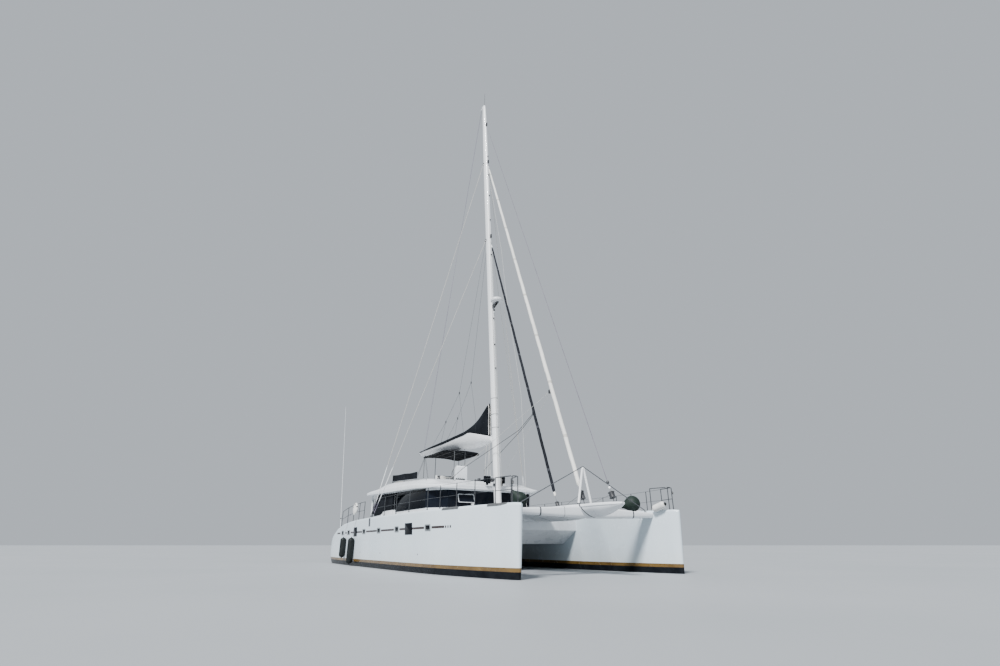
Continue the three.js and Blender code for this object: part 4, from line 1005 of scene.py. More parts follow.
piece("portlight_frames", frame_bm, grey_plastic, sharp=50)
piece("portlight_panes", pane_bm, backed)


# Flank and deck-edge fittings: chainplate straps, grey fairlead plates, small outlets and mooring cleats.
# Straps are dark metal, cleats are white alloy, and the plates are grey alloy screwed to the deck edge.
CLEAT_LONG = 0.26


def cleat(bm, at):
    for step in (-0.045, 0.045):
        post = ((0, 0), (0.026, 0), (0.015, 0.012), (0.013, 0.05), (0, 0.056))
        turned(bm, post, Vector(at) + Vector((step, 0, 0)), steps=12)
    shape = (
        (-0.5, 0.004), (-0.48, 0.011), (-0.3, 0.014), (-0.12, 0.018), (0.12, 0.018), (0.3, 0.014),
        (0.48, 0.011), (0.5, 0.004),
    )
    bar = [(Vector(at) + Vector((CLEAT_LONG * s, 0, 0.058 + 0.012 * abs(s))), r) for s, r in shape]
    loft([[middle + Vector((0, r * cos(a), r * sin(a))) for a in around(10)] for middle, r in bar], bm)


strap_bm, plate_bm, cleat_bm = bmesh.new(), bmesh.new(), bmesh.new()
for _, side in SIDES:
    flank_pad(strap_bm, side, -2.03, 1.915, 0.21, 0.36, 0.010)
    for z in (1.78, 1.86, 1.94, 2.02):
        turned(
            strap_bm, ((0, 0), (0.014, 0), (0.010, 0.006), (0, 0.007)),
            on_flank(side, -2.03 - FLANK_RAKE * (z - 1.915), z, 0.008), (0, side, 0), 8,
        )
    for x0, x1 in ((5.6, 6.6), (8.1, 8.95)):
        rings = []
        for x in np.linspace(x0, x1, 12):
            edge, top = HULL_Y + deck_half(x), deck_z(x)
            rings.append(
                [Vector((x, side * y, z)) for y, z in (
                    (edge - 0.13, top - 0.01), (edge - 0.13, top + 0.01), (edge - 0.035, top + 0.012),
                    (edge + 0.006, top - 0.03), (edge + 0.006, top - 0.075), (edge - 0.02, top - 0.075),
                )]
            )
        loft(rings, plate_bm)
    for x in (-3.1, -0.2, 3.9):
        turned(
            plate_bm, ((0, -0.01), (0.024, -0.01), (0.024, 0.004), (0.012, 0.008), (0, 0.002)),
            on_flank(side, x, 0.62, 0), (0, side, 0), 12,
        )
    block(
        cleat_bm, (6.85, side * 3.79 - 0.07, deck_z(7) - 0.01), (7.15, side * 3.79 + 0.07, deck_z(7) + 0.012),
        0.008,
    )
    for x, y in ((7.0, 3.79), (-0.75, 4.31), (-7.0, 4.27)):
        cleat(cleat_bm, (x, side * y, deck_z(x) + 0.010))
piece("flank_straps", strap_bm, dark_wire, sharp=50)
piece("fairlead_plates", plate_bm, grey_alloy, sharp=50)
piece("mooring_cleats", cleat_bm, mast_paint, sharp=50)


# Hatches: low framed acrylic hatches on the hulls and the foredeck, and the two foredeck locker lids.
# Lids are moulded with a rounded edge, a flush handle and hinges, and swing with their own body.
def deck_hatch(frames, panes, x, y, z, long, wide):
    base = [
        (x - long / 2, y - wide / 2), (x + long / 2, y - wide / 2), (x + long / 2, y + wide / 2),
        (x - long / 2, y + wide / 2),
    ]

    def ring(inset, height):
        corners = [(px + copysign(inset, x - px), py + copysign(inset, y - py)) for px, py in base]
        return [Vector((p.x, p.y, z + height)) for p in filleted(corners, 0.06)]

    loft(
        [ring(i, h) for i, h in ((0, -0.02), (0, 0.006), (0.012, 0.022), (0.032, 0.022), (0.036, 0.012))],
        frames,
    )
    loft([ring(i, h) for i, h in ((0.034, 0.0), (0.034, 0.018), (0.038, 0.021))], panes)
    for step in (-0.3, 0.3):
        block(
            frames, (x + step * long - 0.02, y + wide / 2 - 0.02, z + 0.016),
            (x + step * long + 0.02, y + wide / 2 + 0.02, z + 0.03), 0.004,
        )


frame_bm, pane_bm = bmesh.new(), bmesh.new()
for _, side in SIDES:
    for x in (-5.1, -2.3, 0.1, 3.1, 5.85):
        deck_hatch(frame_bm, pane_bm, x, side * HULL_Y, deck_z(x), 0.52, 0.52 if x < 5 else 0.44)
    deck_hatch(frame_bm, pane_bm, 2.42, side * 0.33, 2.14, 0.31, 0.30)
piece("deck_hatch_frames", frame_bm, grey_alloy, sharp=50)
piece("deck_hatch_panes", pane_bm, tinted)
LID_Y, LID_HALF, LID_TOP = 1.25, 0.54, 2.152
for side_name, side in SIDES:
    softened(f"locker_lid_{side_name}", white_gelcoat, bevel=0.014, body=f"lid_{side_name}")
    bm = bmesh.new()
    panel(
        bm, (3.06, 4.14), lambda x: side * LID_Y - LID_HALF, lambda x: side * LID_Y + LID_HALF,
        lambda x: LID_TOP, 0.003,
    )
    piece(f"lid_non_skid_{side_name}", bm, non_skid, f"lid_{side_name}")
    bm = bmesh.new()
    turned(
        bm, ((0, 0), (0.045, 0), (0.045, 0.003), (0.036, 0.005), (0.032, 0.001), (0, 0.001)),
        (4.17, side * LID_Y, LID_TOP + 0.0005), steps=20,
    )
    piece(f"lid_latch_{side_name}", bm, steel, f"lid_{side_name}")


# Anchor gear: a low windlass with a chain wheel on the foredeck and a chain guide on the prow.
# The windlass is cast alloy and polished steel, and the chain runs forward over the prow's top.
bm = bmesh.new()
block(bm, (4.02, -0.17, 2.135), (4.42, 0.17, 2.165), 0.01)
turned(bm, (
    (0, 0), (0.13, 0), (0.12, 0.06), (0.085, 0.08), (0.07, 0.11), (0.085, 0.14), (0.10, 0.15), (0.10, 0.165),
    (0, 0.175),
), (4.22, 0, 2.16), steps=28)
block(bm, (4.30, 0.04, 2.16), (4.40, 0.16, 2.24), 0.02)
piece("windlass", bm, steel, sharp=40)
CHAIN_LINK = 0.045
runs = []
xs = np.arange(4.36, 5.9, CHAIN_LINK * 0.8)
for k, x in enumerate(xs):
    turn = pi / 4 + k * pi / 2
    ring = [(0.028 * cos(a), 0.014 * sin(a)) for a in np.linspace(0, 2 * pi, 11)]
    z = 2.21 + max(0, (4.7 - x)) * 0.02
    runs.append((0.0045, [(x + u, v * cos(turn), z + v * sin(turn)) for u, v in ring]))
rods("anchor_chain", runs, steel, sides=0)
bm = bmesh.new()
block(bm, (5.85, -0.09, 2.185), (6.15, 0.09, 2.215), 0.012)
turned(bm, ((0, -0.05), (0.04, -0.05), (0.028, 0), (0.04, 0.05), (0, 0.05)), (6.0, 0, 2.235), (0, 1, 0), 16)
piece("chain_guide", bm, steel, sharp=40)


# Saloon trim: the open window's white frame and stays, and the sliding door with its own handle.
# The door is tinted glass in a dark alloy frame and slides to port on the track over the opening.
WINDOW = ((1.513, -1.68, 2.68), (1.513, -0.87, 3.05))


def window_ring(inset, out, tilt):
    (x, y0, z0), (_, y1, z1) = WINDOW
    corners = [
        (y0 + inset, z0 + inset), (y1 - inset, z0 + inset), (y1 - inset, z1 - inset),
        (y0 + inset, z1 - inset),
    ]
    return [Vector((x + out + tilt * (z1 - p.y), p.x, p.y)) for p in filleted(corners, 0.05)]


bm = bmesh.new()
loft([
    window_ring(i, o, 0.32)
    for i, o in ((0.0, 0.022), (0.0, 0.036), (0.005, 0.040), (0.022, 0.040), (0.024, 0.032))
], bm)
piece("open_window_frame", bm, white_gelcoat, sharp=50)
bm = bmesh.new()
loft([
    window_ring(i, o, 0.0)
    for i, o in ((0.01, -0.004), (0.01, 0.012), (0.018, 0.014), (0.036, 0.014), (0.038, 0.006))
], bm)
piece("open_window_rebate", bm, black_metal, sharp=50)
bm = bmesh.new()
loft([window_ring(i, o, 0.32) for i, o in ((0.021, 0.028), (0.021, 0.037))], bm)
loft([window_ring(0.036, o, 0.0) for o in (0.002, 0.008)], bm)
piece("open_window_pane", bm, tinted)
rods(
    "window_stays", [(0.006, [(1.53, y, 2.80), (1.62, y, 2.80)]) for y in (-1.64, -0.91)], steel,
)
bm = bmesh.new()
x0, x1, z0, z1 = -3.4053, -3.3653, 1.456, 3.34
for y0, y1 in ((-0.74, -0.66), (0.66, 0.74)):
    block(bm, (x0, y0, z0), (x1, y1, z1), 0.006)
for low, high in ((z0, z0 + 0.11), (z1 - 0.08, z1)):
    block(bm, (x0 + 0.0004, -0.665, low), (x1 - 0.0004, 0.665, high), 0.005)
block(bm, (x0 - 0.012, -0.70, 2.25), (x0 + 0.01, -0.675, 2.62), 0.008)
piece("door_frame", bm, black_metal, "door", "saloon_door", sharp=40)
bm = bmesh.new()
block(bm, (x0 + 0.013, -0.67, z0 + 0.1), (x1 - 0.013, 0.67, z1 - 0.07), 0.002)
piece("door_pane", bm, tinted, "door")


# Cockpit curtains: dark screens laced between the roof and the side deck's lip.
# They are coated mesh, bow out slightly between their fixings, and turn in to the wall at their front.
CURTAIN_Y = 2.923
for side_name, side in SIDES:
    low = ((-6.88, 2.37), (-4.96, 2.43), (-4.72, 2.575), (-3.405, 2.582))
    high = lambda x: min(eased(ROOF_TABLE, x)[2] - 0.012, 2.37 + (x + 6.90) * 1.158)
    bm = bmesh.new()
    rings = []
    for x in np.linspace(-6.86, -3.405, 40):
        bottom = eased(low, x)[1]
        top = max(high(x), bottom + 0.02)
        rings.append([
            Vector((x, side * (CURTAIN_Y + 0.004 * sin(5 * x) * sin(pi * t)), bottom + t * (top - bottom)))
            for t in np.linspace(0, 1, 13)
        ])
    front_edge = rings[-1]
    for inward in (0.03, 0.07, 0.108):
        rings.append([Vector((-3.403, p.y - side * inward, p.z)) for p in front_edge])
    cloth = piece(
        f"curtain_cloth_{side_name}", loft(rings, bm, closed=False), black_canvas,
        instead=f"cockpit_curtain_{side_name}", sharp=80, thick=0.002,
    )


# Furled headsails: a white genoa and a black staysail rolled round their stays, each on a furling drum.
# The rolled laminate ends in a spiral edge, with drum, foot plate and swivels in metal and black plastic.
STAY_TOPS = (22.79, 17.05)
GENOA = (Vector((8.25, 0, 2.215)), Vector((mast_x(STAY_TOPS[0]) + 0.12, 0, STAY_TOPS[0])))
STAYSAIL = (Vector((6.70, 0, 2.18)), Vector((mast_x(STAY_TOPS[1]) + 0.12, 0, STAY_TOPS[1])))
GENNAKER = (Vector((9.76, 0, 2.215)), Vector((mast_x(26.26) + 0.10, 0, 26.26)))


def on_line(line, share):
    return line[0].lerp(line[1], share)


def along_of(line):
    return (line[1] - line[0]).normalized()


def rolled(bm, line, table, pitch, steps, sides=26):
    along = (line[1] - line[0])
    turn = Vector((0, 0, 1)).rotation_difference(along).to_matrix()
    rings = []
    for share in np.linspace(table[0][0], table[-1][0], steps):
        radius = eased(table, share)[1]
        phase = share * along.length / pitch
        ring = []
        for k in range(sides):
            a = 2 * pi * k / sides
            step = (k / sides + phase) % 1
            r = radius * (1 - 0.13 * step - 0.02 * sin(23 * share * along.length + 3 * a))
            ring.append(on_line(line, share) + turn @ Vector((r * cos(a), r * sin(a), 0)))
        rings.append(ring)
    loft(rings, bm)


def drum(bm, line, low, high, radius, seat=0.07):
    along = along_of(line)
    foot = line[0] + along * low
    deep = high - low
    turned(bm, (
        (0.02, 0), (radius, 0), (radius, 0.012), (radius * 0.86, 0.03), (radius * 0.84, deep * 0.62),
        (radius * 0.9, deep * 0.72),
        (radius, deep * 0.75), (radius, deep * 0.8), (0.05, deep * 0.84), (0.035, deep), (0.015, deep),
    ), foot, along, 26)
    x, _, z = line[0]
    block(bm, (x - seat, -0.03, z + 0.001), (x + seat, 0.03, z + 0.058), 0.008)
    pin(bm, 0.014, -0.02, low, line[0] + along * 0.03, along)


def laminate(name, dark, light, seam, stripe, sheen=0.15, gloss=0.5):
    made, tree, shader, place = blank(name)
    height = add(tree, "SeparateXYZ", {"Vector": place}).outputs["Z"]
    turns = reckoned(tree, "FRACT", reckoned(tree, "MULTIPLY", height, seam))
    cloth = two_tone(tree, noise(tree, place, 1.1, 5, (1, 1, 0.4)), dark, light)
    wire(tree, shader, {
        "Base Color": painted(tree, between(tree, turns, 0.0, 0.05), cloth, stripe),
        "Roughness": ranged(tree, noise(tree, place, 8, 3), 0.6, 0.78),
        "Sheen Weight": sheen,
        "Specular IOR Level": gloss,
    })
    bump(tree, shader, noise(tree, place, 14, 4, (1, 1, 0.35)), 0.006, 0.6)
    return made


genoa_cloth = laminate(
    "genoa_laminate", (0.66, 0.655, 0.62), (0.78, 0.77, 0.735), 0.42, (0.50, 0.49, 0.45, 1),
)
staysail_cloth = laminate(
    "staysail_cover_cloth", (0.006, 0.007, 0.010), (0.016, 0.018, 0.024), 0.55, (0.04, 0.042, 0.05, 1), 0.0,
    0.1,
)
bm = bmesh.new()
rolled(
    bm, GENOA, ((0.031, 0.030), (0.036, 0.080), (0.3, 0.086), (0.7, 0.074), (0.962, 0.046), (0.966, 0.02)),
    1.35, 150,
)
piece("genoa_roll", bm, genoa_cloth, instead="genoa_furled", sharp=30)
bm = bmesh.new()
rolled(bm, STAYSAIL, ((0.040, 0.030), (0.046, 0.064), (0.5, 0.062), (0.945, 0.040), (0.95, 0.018)), 1.1, 110)
piece("staysail_roll", bm, staysail_cloth, instead="staysail_furled", sharp=30)
bm = bmesh.new()
rolled(bm, STAYSAIL, ((0.033, 0.034), (0.034, 0.047), (0.042, 0.047), (0.043, 0.034)), 9.0, 8)
piece("staysail_sleeve", bm, genoa_cloth)
bm = bmesh.new()
drum(bm, GENOA, 0.25, 0.585, 0.105)
drum(bm, STAYSAIL, 0.11, 0.30, 0.085)
drum(bm, GENNAKER, 0.177, 0.413, 0.115)
piece("furling_drums", bm, black_metal, sharp=35)
bm = bmesh.new()
for line, shares in ((GENOA, (0.970, 0.976)), (STAYSAIL, (0.953, 0.960)), (GENNAKER, (0.0205,))):
    for share in shares:
        swivel = ((0, -0.04), (0.03, -0.04), (0.042, -0.02), (0.042, 0.02), (0.03, 0.04), (0, 0.04))
        turned(bm, swivel, on_line(line, share), along_of(line), 16)
piece("furling_swivels", bm, mast_paint, sharp=50)
bm = bmesh.new()
for at in ((6.44, 0, 6.80), (5.22, 0, 6.16)):
    block(bm, (at[0] - 0.07, -0.045, at[2] - 0.08), (at[0] + 0.06, 0.045, at[2] + 0.08), 0.02)
thimble = ((0, -0.05), (0.03, -0.05), (0.046, -0.03), (0.046, 0.03), (0.03, 0.05), (0, 0.05))
turned(bm, thimble, on_line(GENNAKER, 0.028), along_of(GENNAKER), 16)
piece("clew_fittings", bm, black_metal, sharp=40)
rods("forestays", [
    (0.011, [on_line(GENOA, 0.001), on_line(GENOA, 0.05)]),
    (0.011, [on_line(GENOA, 0.96), on_line(GENOA, 0.996)]),
    (0.009, [on_line(STAYSAIL, 0.001), on_line(STAYSAIL, 0.05)]),
    (0.009, [on_line(STAYSAIL, 0.94), on_line(STAYSAIL, 0.994)]),
    (0.007, [on_line(GENNAKER, 0.001), on_line(GENNAKER, 0.998)]),
], steel, instead="gennaker_stay", sides=1)


# Gennaker stay: two dark fibre strands laid round each other up the whole stay, under a plastic thimble.
# It stands free of any sail, and its drum and swivel are the same make as the genoa's.
def coil_round(line, start, end, radius, pitch, phase=0.0, per_turn=9):
    along = line[1] - line[0]
    turn = Vector((0, 0, 1)).rotation_difference(along).to_matrix()
    length = along.length * (end - start)
    count = max(int(length / pitch * per_turn), 3)
    made = []
    for k in range(count + 1):
        share = start + (end - start) * k / count
        a = phase + 2 * pi * length * k / count / pitch
        made.append(on_line(line, share) + turn @ Vector((radius * cos(a), radius * sin(a), 0)))
    return made


fibre = weave_finish(
    "grey_fibre", (0.10, 0.085, 0.12), (0.20, 0.18, 0.22), thread=900, depth=0.0006, sheen=0.1, patch=2.5,
)
rods(
    "gennaker_strands",
    [(0.0075, coil_round(GENNAKER, 0.032, 0.93, 0.0075, 0.28, phase)) for phase in (0, pi)], fibre,
    sides=1,
)


# Shrouds: on each side a cap shroud and a lower shroud of fibre, down to two chainplates on the hull.
# Each ends in a pale screw and a spiral lashing under it, and in a black thimble at the mast.
CHAINPLATES = ((-2.04, 4.37, 2.23), (-1.84, 4.36, 2.23))
pale_rope = weave_finish(
    "pale_rope", (0.46, 0.44, 0.40), (0.60, 0.58, 0.53), thread=900, depth=0.0006, sheen=0.1, patch=3,
)
purple_rope = weave_finish(
    "grey_purple_rope", (0.15, 0.13, 0.19), (0.30, 0.28, 0.33), thread=900, depth=0.0006, sheen=0.1, patch=3,
)
for side_name, side in SIDES:
    feet = [Vector((x, side * y, z)) for x, y, z in CHAINPLATES]
    lines = [(foot, Vector((mast_x(z), side * MAST_WIDE * 1.06, z))) for foot, z in zip(feet, STAY_TOPS)]
    reach = [(line[1] - line[0]).length for line in lines]
    wires, screws, lashings = [], [], []
    for line, size, long in zip(lines, (0.0105, 0.0095), reach):
        wires.append((size, [on_line(line, 2.35 / long), on_line(line, 0.9985)]))
        screws.append(
            ((0.009, 0.019, 0.019, 0.009), [on_line(line, d / long) for d in (0.64, 0.72, 2.22, 2.3)])
        )
        screws.append((0.008, [on_line(line, d / long) for d in (0.50, 2.42)]))
        lashings += [
            (0.0055, coil_round(line, 0.10 / long, 0.56 / long, 0.0125, 0.085, phase, 8))
            for phase in (0, 2.1, 4.2)
        ]
    rods(f"shroud_lines_{side_name}", wires, pale_rope, instead=f"shrouds_{side_name}", sides=1)
    rods(f"shroud_screws_{side_name}", screws, mast_paint, sides=2)
    rods(f"shroud_lashings_{side_name}", lashings, purple_rope, sides=0)
    bm = bmesh.new()
    for foot in feet:
        block(bm, (foot.x - 0.045, foot.y - 0.016, 2.13), (foot.x + 0.045, foot.y + 0.016, 2.27), 0.012)
        pin(bm, 0.014, -0.024, 0.024, foot + Vector((0, 0, 0.01)), (0, 1, 0))
    piece(f"chainplate_{side_name}", bm, steel, sharp=40)
    bm = bmesh.new()
    for line in lines:
        thimble = ((0.012, -0.16), (0.026, -0.15), (0.028, 0), (0.014, 0.02))
        turned(bm, thimble, on_line(line, 0.9975), line[1] - line[0], 12)
    piece(f"shroud_tangs_{side_name}", bm, black_metal, sharp=50)


# Guard rails: stanchions with two wires, a pulpit of bent tube round each bow and a pushpit at each quarter.
# They are dark grey stainless tube in cast bases, and the wires pass through the stanchions.
STANCHIONS = (-2.0, -0.305, 1.175, 2.64, 4.345, 5.31, 6.355, 7.375)
PULPIT = (8.365, 9.065)
PUSHPIT = (-7.35, -6.15, -5.10, -4.13, -3.30)
RAIL_Z, MID_Z, RAIL_INSET = 0.792, 0.39, 0.09
rail_metal = finish(
    "rail_metal", (0.07, 0.073, 0.08), (0.15, 0.155, 0.16), patch=10, rough=(0.28, 0.42), grain=240,
    depth=0.0006, Metallic=0.9,
)


def rail_point(side, x, height, inner=False):
    half = deck_half(x) - RAIL_INSET
    return Vector((x, side * (HULL_Y - half if inner else HULL_Y + half), deck_z(x) + height))


for side_name, side in SIDES:
    posts = [(0.016, [rail_point(side, x, -0.01), rail_point(side, x, 0.80)]) for x in STANCHIONS]
    for height in (RAIL_Z, MID_Z):
        ends = [rail_point(side, x, height) for x in (*STANCHIONS, PULPIT[0])]
        posts.append((0.0055, ends))
    posts += [
        (0.016, [rail_point(side, x, -0.01, inner), rail_point(side, x, 0.79, inner)])
        for x in PULPIT
        for inner in (False, True)
    ]
    loop = [
        rail_point(side, x, 0.794, inner)
        for x, inner in ((PULPIT[0], False), (PULPIT[1], False), (PULPIT[1], True), (PULPIT[0], True))
    ]
    posts.append((0.016, bent(loop, 0.09)))
    posts.append((0.012, [rail_point(side, x, MID_Z) for x in PULPIT]))
    rods(
        f"guard_rail_tubes_{side_name}", posts, rail_metal, instead=f"guard_rail_{side_name}",
        sides=2,
    )
    aft = [(0.016, [rail_point(side, x, -0.01), rail_point(side, x, 0.78)]) for x in PUSHPIT]
    aft.append((0.016, bent([rail_point(side, x, RAIL_Z) for x in PUSHPIT], 0.05)))
    aft.append((0.012, [rail_point(side, x, MID_Z) for x in PUSHPIT]))
    rods(f"pushpit_tubes_{side_name}", aft, rail_metal, instead=f"pushpit_{side_name}", sides=2)
    bm = bmesh.new()
    base = ((0, 0), (0.042, 0), (0.042, 0.005), (0.026, 0.012), (0.020, 0.05), (0, 0.05))
    feet = [(x, False) for x in (*STANCHIONS, *PUSHPIT, *PULPIT)] + [(x, True) for x in PULPIT]
    for x, inner in feet:
        turned(bm, base, rail_point(side, x, 0.001, inner), steps=14)
    piece(f"rail_bases_{side_name}", bm, rail_metal, sharp=50)


# Radar and mast lights: a white dome on a grey bracket halfway up the mast, a light under it and at the head.
# The dome is a two-part plastic moulding with a seam, on a welded plate bracket.
RADAR_Z = 12.82
x = mast_x(RADAR_Z) + 0.60
bm = bmesh.new()
turned(bm, (
    (0, -0.115), (0.24, -0.115), (0.29, -0.10), (0.31, -0.07), (0.31, -0.012), (0.304, -0.008), (0.304, 0.0),
    (0.31, 0.004), (0.306, 0.03), (0.28, 0.075), (0.22, 0.10), (0.12, 0.112), (0, 0.115),
), (x, 0, RADAR_Z), steps=40)
piece("radar_dome", bm, mast_paint, instead="radar", sharp=40)
bm = bmesh.new()
start = mast_front(RADAR_Z - 0.33)
for y in (-0.055, 0.045):
    outline = (
        (start + 0.003, -0.33), (start + 0.04, -0.33), (x + 0.16, -0.135), (x + 0.16, -0.117),
        (mast_front(RADAR_Z) + 0.02, -0.117),
    )
    loft([[Vector((px, y + step, RADAR_Z + pz)) for px, pz in outline] for step in (0, 0.01)], bm)
block(bm, (start + 0.03, -0.06, RADAR_Z - 0.13), (x + 0.16, 0.06, RADAR_Z - 0.116), 0.003)
block(bm, (start + 0.05, -0.04, RADAR_Z - 0.52), (start + 0.14, 0.04, RADAR_Z - 0.42), 0.015)
piece("radar_bracket", bm, grey_alloy, sharp=40)
bm = bmesh.new()
turned(
    bm, ((0, -0.06), (0.035, -0.06), (0.04, -0.04), (0.04, 0.03), (0.03, 0.05), (0, 0.055)),
    (start + 0.095, 0, RADAR_Z - 0.58), steps=16,
)
turned(
    bm, ((0, 0), (0.04, 0), (0.045, 0.03), (0.04, 0.09), (0.02, 0.11), (0, 0.112)), (0.12, 0, 27.85),
    steps=16,
)
piece("mast_lights", bm, pale_plastic, sharp=50)


# Aerial: a white whip on the starboard quarter, stepped beside the stern stairs and raked aft and out.
# It is painted glass fibre with a clamp and a base fitting.
rods("aerial_whip", [(
    (0.022, 0.016, 0.012, 0.007),
    [(-8.0, -4.23, 1.665), (-8.0, -4.23, 1.99), (-8.24, -4.405, 5.4), (-8.48, -4.58, 8.8)],
)], mast_paint, instead="whip_aerial", sides=3)
bm = bmesh.new()
turned(
    bm, ((0, 0), (0.05, 0), (0.05, 0.01), (0.03, 0.03), (0.027, 0.16), (0, 0.16)),
    (-8.0, -4.23, deck_z(-8.0) - 0.01), steps=16,
)
turned(
    bm, ((0.012, -0.03), (0.026, -0.028), (0.026, 0.028), (0.012, 0.03)), (-8.02, -4.245, 2.32),
    (-0.07, -0.05, 1), 16,
)
piece("aerial_fittings", bm, black_metal, sharp=50)


# Fenders: two black ones against the starboard flank, a white one in the port bow and two dark green balls.
# All are inflated vinyl with a moulded eye at each end, and the black ones hang from the mid wire.
black_vinyl = finish(
    "black_vinyl", (0.005, 0.007, 0.007), (0.013, 0.016, 0.016), patch=4, rough=(0.45, 0.65), grain=60,
    depth=0.002, Specular_IOR_Level=0.18,
)
green_vinyl = finish(
    "dark_green_vinyl", (0.007, 0.014, 0.011), (0.015, 0.026, 0.021), patch=5, rough=(0.5, 0.65), grain=50,
    depth=0.002, Specular_IOR_Level=0.2,
)
white_vinyl = finish(
    "white_vinyl", (0.62, 0.62, 0.60), (0.74, 0.74, 0.72), patch=5, rough=(0.35, 0.5), grain=90, depth=0.0015,
    Coat_Weight=0.15,
)
hull_side = lambda x, out=0.0: -HULL_Y - deck_half(x) + out


def sausage(bm, start, end, r):
    start, end = Vector(start), Vector(end)
    long = (end - start).length
    swell = [(r * sin(t)**0.8, 0.04 + r * 0.9 * (1 - cos(t))) for t in np.linspace(0.25, pi / 2, 8)]
    far = [(radius, long - along) for radius, along in reversed(swell)]
    eye = [(0, 0), (0.02, 0.002), (0.026, 0.018), (0.022, 0.034)]
    turned(
        bm, (*eye, *swell, *far, *[(radius, long - along) for radius, along in reversed(eye)]), start,
        end - start, 30,
    )


for name, x, z0, z1, r in (
    ("fender_aft", -5.7, 0.31, 1.33, 0.15), ("fender_forward", -4.2, 0.06, 1.31, 0.16),
):
    bm = bmesh.new()
    y = hull_side(x) - r - 0.0005
    sausage(bm, (x, y, z0), (x, y, z1), r)
    piece(name + "_body", bm, black_vinyl, instead=name, sharp=60)
    rail = rail_point(-1, x, 0.38)
    hang = [
        (x, y, z1 - 0.02), (x, hull_side(x, -0.012), deck_z(x) - 0.06),
        (x, hull_side(x, 0.0), deck_z(x) + 0.03), (x, rail.y - 0.010, rail.z),
    ]
    knot = [
        (x + 0.016 * cos(a), rail.y - 0.002 + 0.016 * sin(a), rail.z + 0.004 * a - 0.02)
        for a in np.linspace(0, 4 * pi, 25)
    ]
    rods(name + "_line", [(0.006, bent(hang, 0.05)), (0.005, knot)], purple_rope, sides=1)
bm = bmesh.new()
low, high = Vector((8.53, 2.975, 2.15)), Vector((9.10, 3.112, 2.349))
sausage(bm, low, high, 0.130)
piece("fender_bow_body", bm, white_vinyl, instead="fender_bow", sharp=60)
bm = bmesh.new()
turned(
    bm, ((0, -0.02), (0.060, -0.075), (0.072, -0.060), (0.050, -0.012), (0.030, 0.006), (0, 0.008)), high,
    high - low, 20,
)
piece("fender_bow_cap", bm, black_vinyl, sharp=60)
for side_name, at, r, heading in (
    ("starboard", (6.95, -1.88, 2.43), 0.27, (-0.35, -0.6, 0.7)),
    ("port", (7.45, 3.06, 2.44), 0.30, (-0.42, -0.85, -0.22)),
):
    bm = bmesh.new()
    ball = [(r * sin(t), -r * cos(t)) for t in np.linspace(0.08, 2.0, 18)]
    neck = [
        (0.80 * r, 0.62 * r), (0.62 * r, 0.88 * r), (0.44 * r, 1.12 * r), (0.31 * r, 1.34 * r),
        (0.26 * r, 1.52 * r), (0.12 * r, 1.58 * r), (0, 1.585 * r),
    ]
    turned(bm, ((0, -r), *ball, *neck), at, heading, 40)
    piece(f"ball_fender_{side_name}", bm, green_vinyl, sharp=60)


# Lifebuoy: a white horseshoe in a padded vinyl cover, hung on the starboard pushpit with dark straps.
# The cover is sewn round closed foam, and a white pouch for its line fills the middle.
BUOY_AT = Vector((-4.65, 0, 2.64))
BUOY_ROUND, BUOY_THICK = 0.255, 0.055
BUOY_AT.y = -rail_point(1, BUOY_AT.x, 0).y - 0.0702
bm = bmesh.new()
rings = []
for k, a in enumerate(np.linspace(-1.05, pi + 1.05, 44)):
    from_end = min(k, 43 - k, 4)
    thick = BUOY_THICK * (0.55 + 0.45 * sin(from_end / 4 * pi / 2))
    thick *= 0.95 if abs(sin(3 * a)) > 0.98 else 1
    out = Vector((cos(a), 0, sin(a)))
    rings.append([
        BUOY_AT + out * (BUOY_ROUND + thick * cos(b)) + Vector((0, thick * sin(b), 0)) for b in around(20)
    ])
buoy = piece("lifebuoy_horseshoe", loft(rings, bm), white_vinyl, instead="lifebuoy", sharp=70)
STRAP = BUOY_THICK + 0.0035
bm = bmesh.new()
for a in (0.35, pi - 0.35, pi / 2):
    out = Vector((cos(a), 0, sin(a)))
    tangent = Vector((-sin(a), 0, cos(a)))
    loft([
        [
            BUOY_AT + out * (BUOY_ROUND + STRAP * cos(b)) + Vector((0, STRAP * sin(b), 0)) + tangent * step
            for b in around(20)
        ]
        for step in (-0.022, 0.022)
    ], bm)
block(bm, BUOY_AT + Vector((-0.02, 0.03, 0.1)), BUOY_AT + Vector((0.02, 0.062, 0.26)), 0.006)
piece("lifebuoy_straps", bm, dark_webbing, sharp=50)
bm = bmesh.new()
pouch = [(sin(t), -cos(t)) for t in np.linspace(0, pi, 21)]
turned(bm, pouch, steps=36)
place = Matrix.Translation(
    BUOY_AT + Vector((-0.03, -0.035, -0.05))
) @ Matrix.Diagonal((0.205, 0.050, 0.245, 1))
bmesh.ops.transform(bm, matrix=place, verts=bm.verts)
piece("lifebuoy_pouch", bm, white_vinyl, sharp=60)


# Cushions: foam pads in sewn covers, used on the helm seat, the flybridge, the cockpit and the saloon.
# Each is blown up a little as cloth, rests flat on its bench, and has piping where the panels meet.
cushion_cloth = weave_finish(
    "cushion_cloth", (0.36, 0.34, 0.30), (0.47, 0.45, 0.40), thread=700, depth=0.0008, sheen=0.3, patch=2,
)
pale_leathercloth = weave_finish(
    "pale_leathercloth", (0.60, 0.60, 0.58), (0.70, 0.70, 0.675), thread=1300, depth=0.0004,
    rough=(0.4, 0.52), sheen=0.05, patch=2,
)
CUSHION = Vector((1.0, 0.62, 0.12))
VOXEL, SWELL, FRAMES = 0.03, 0.024, 20


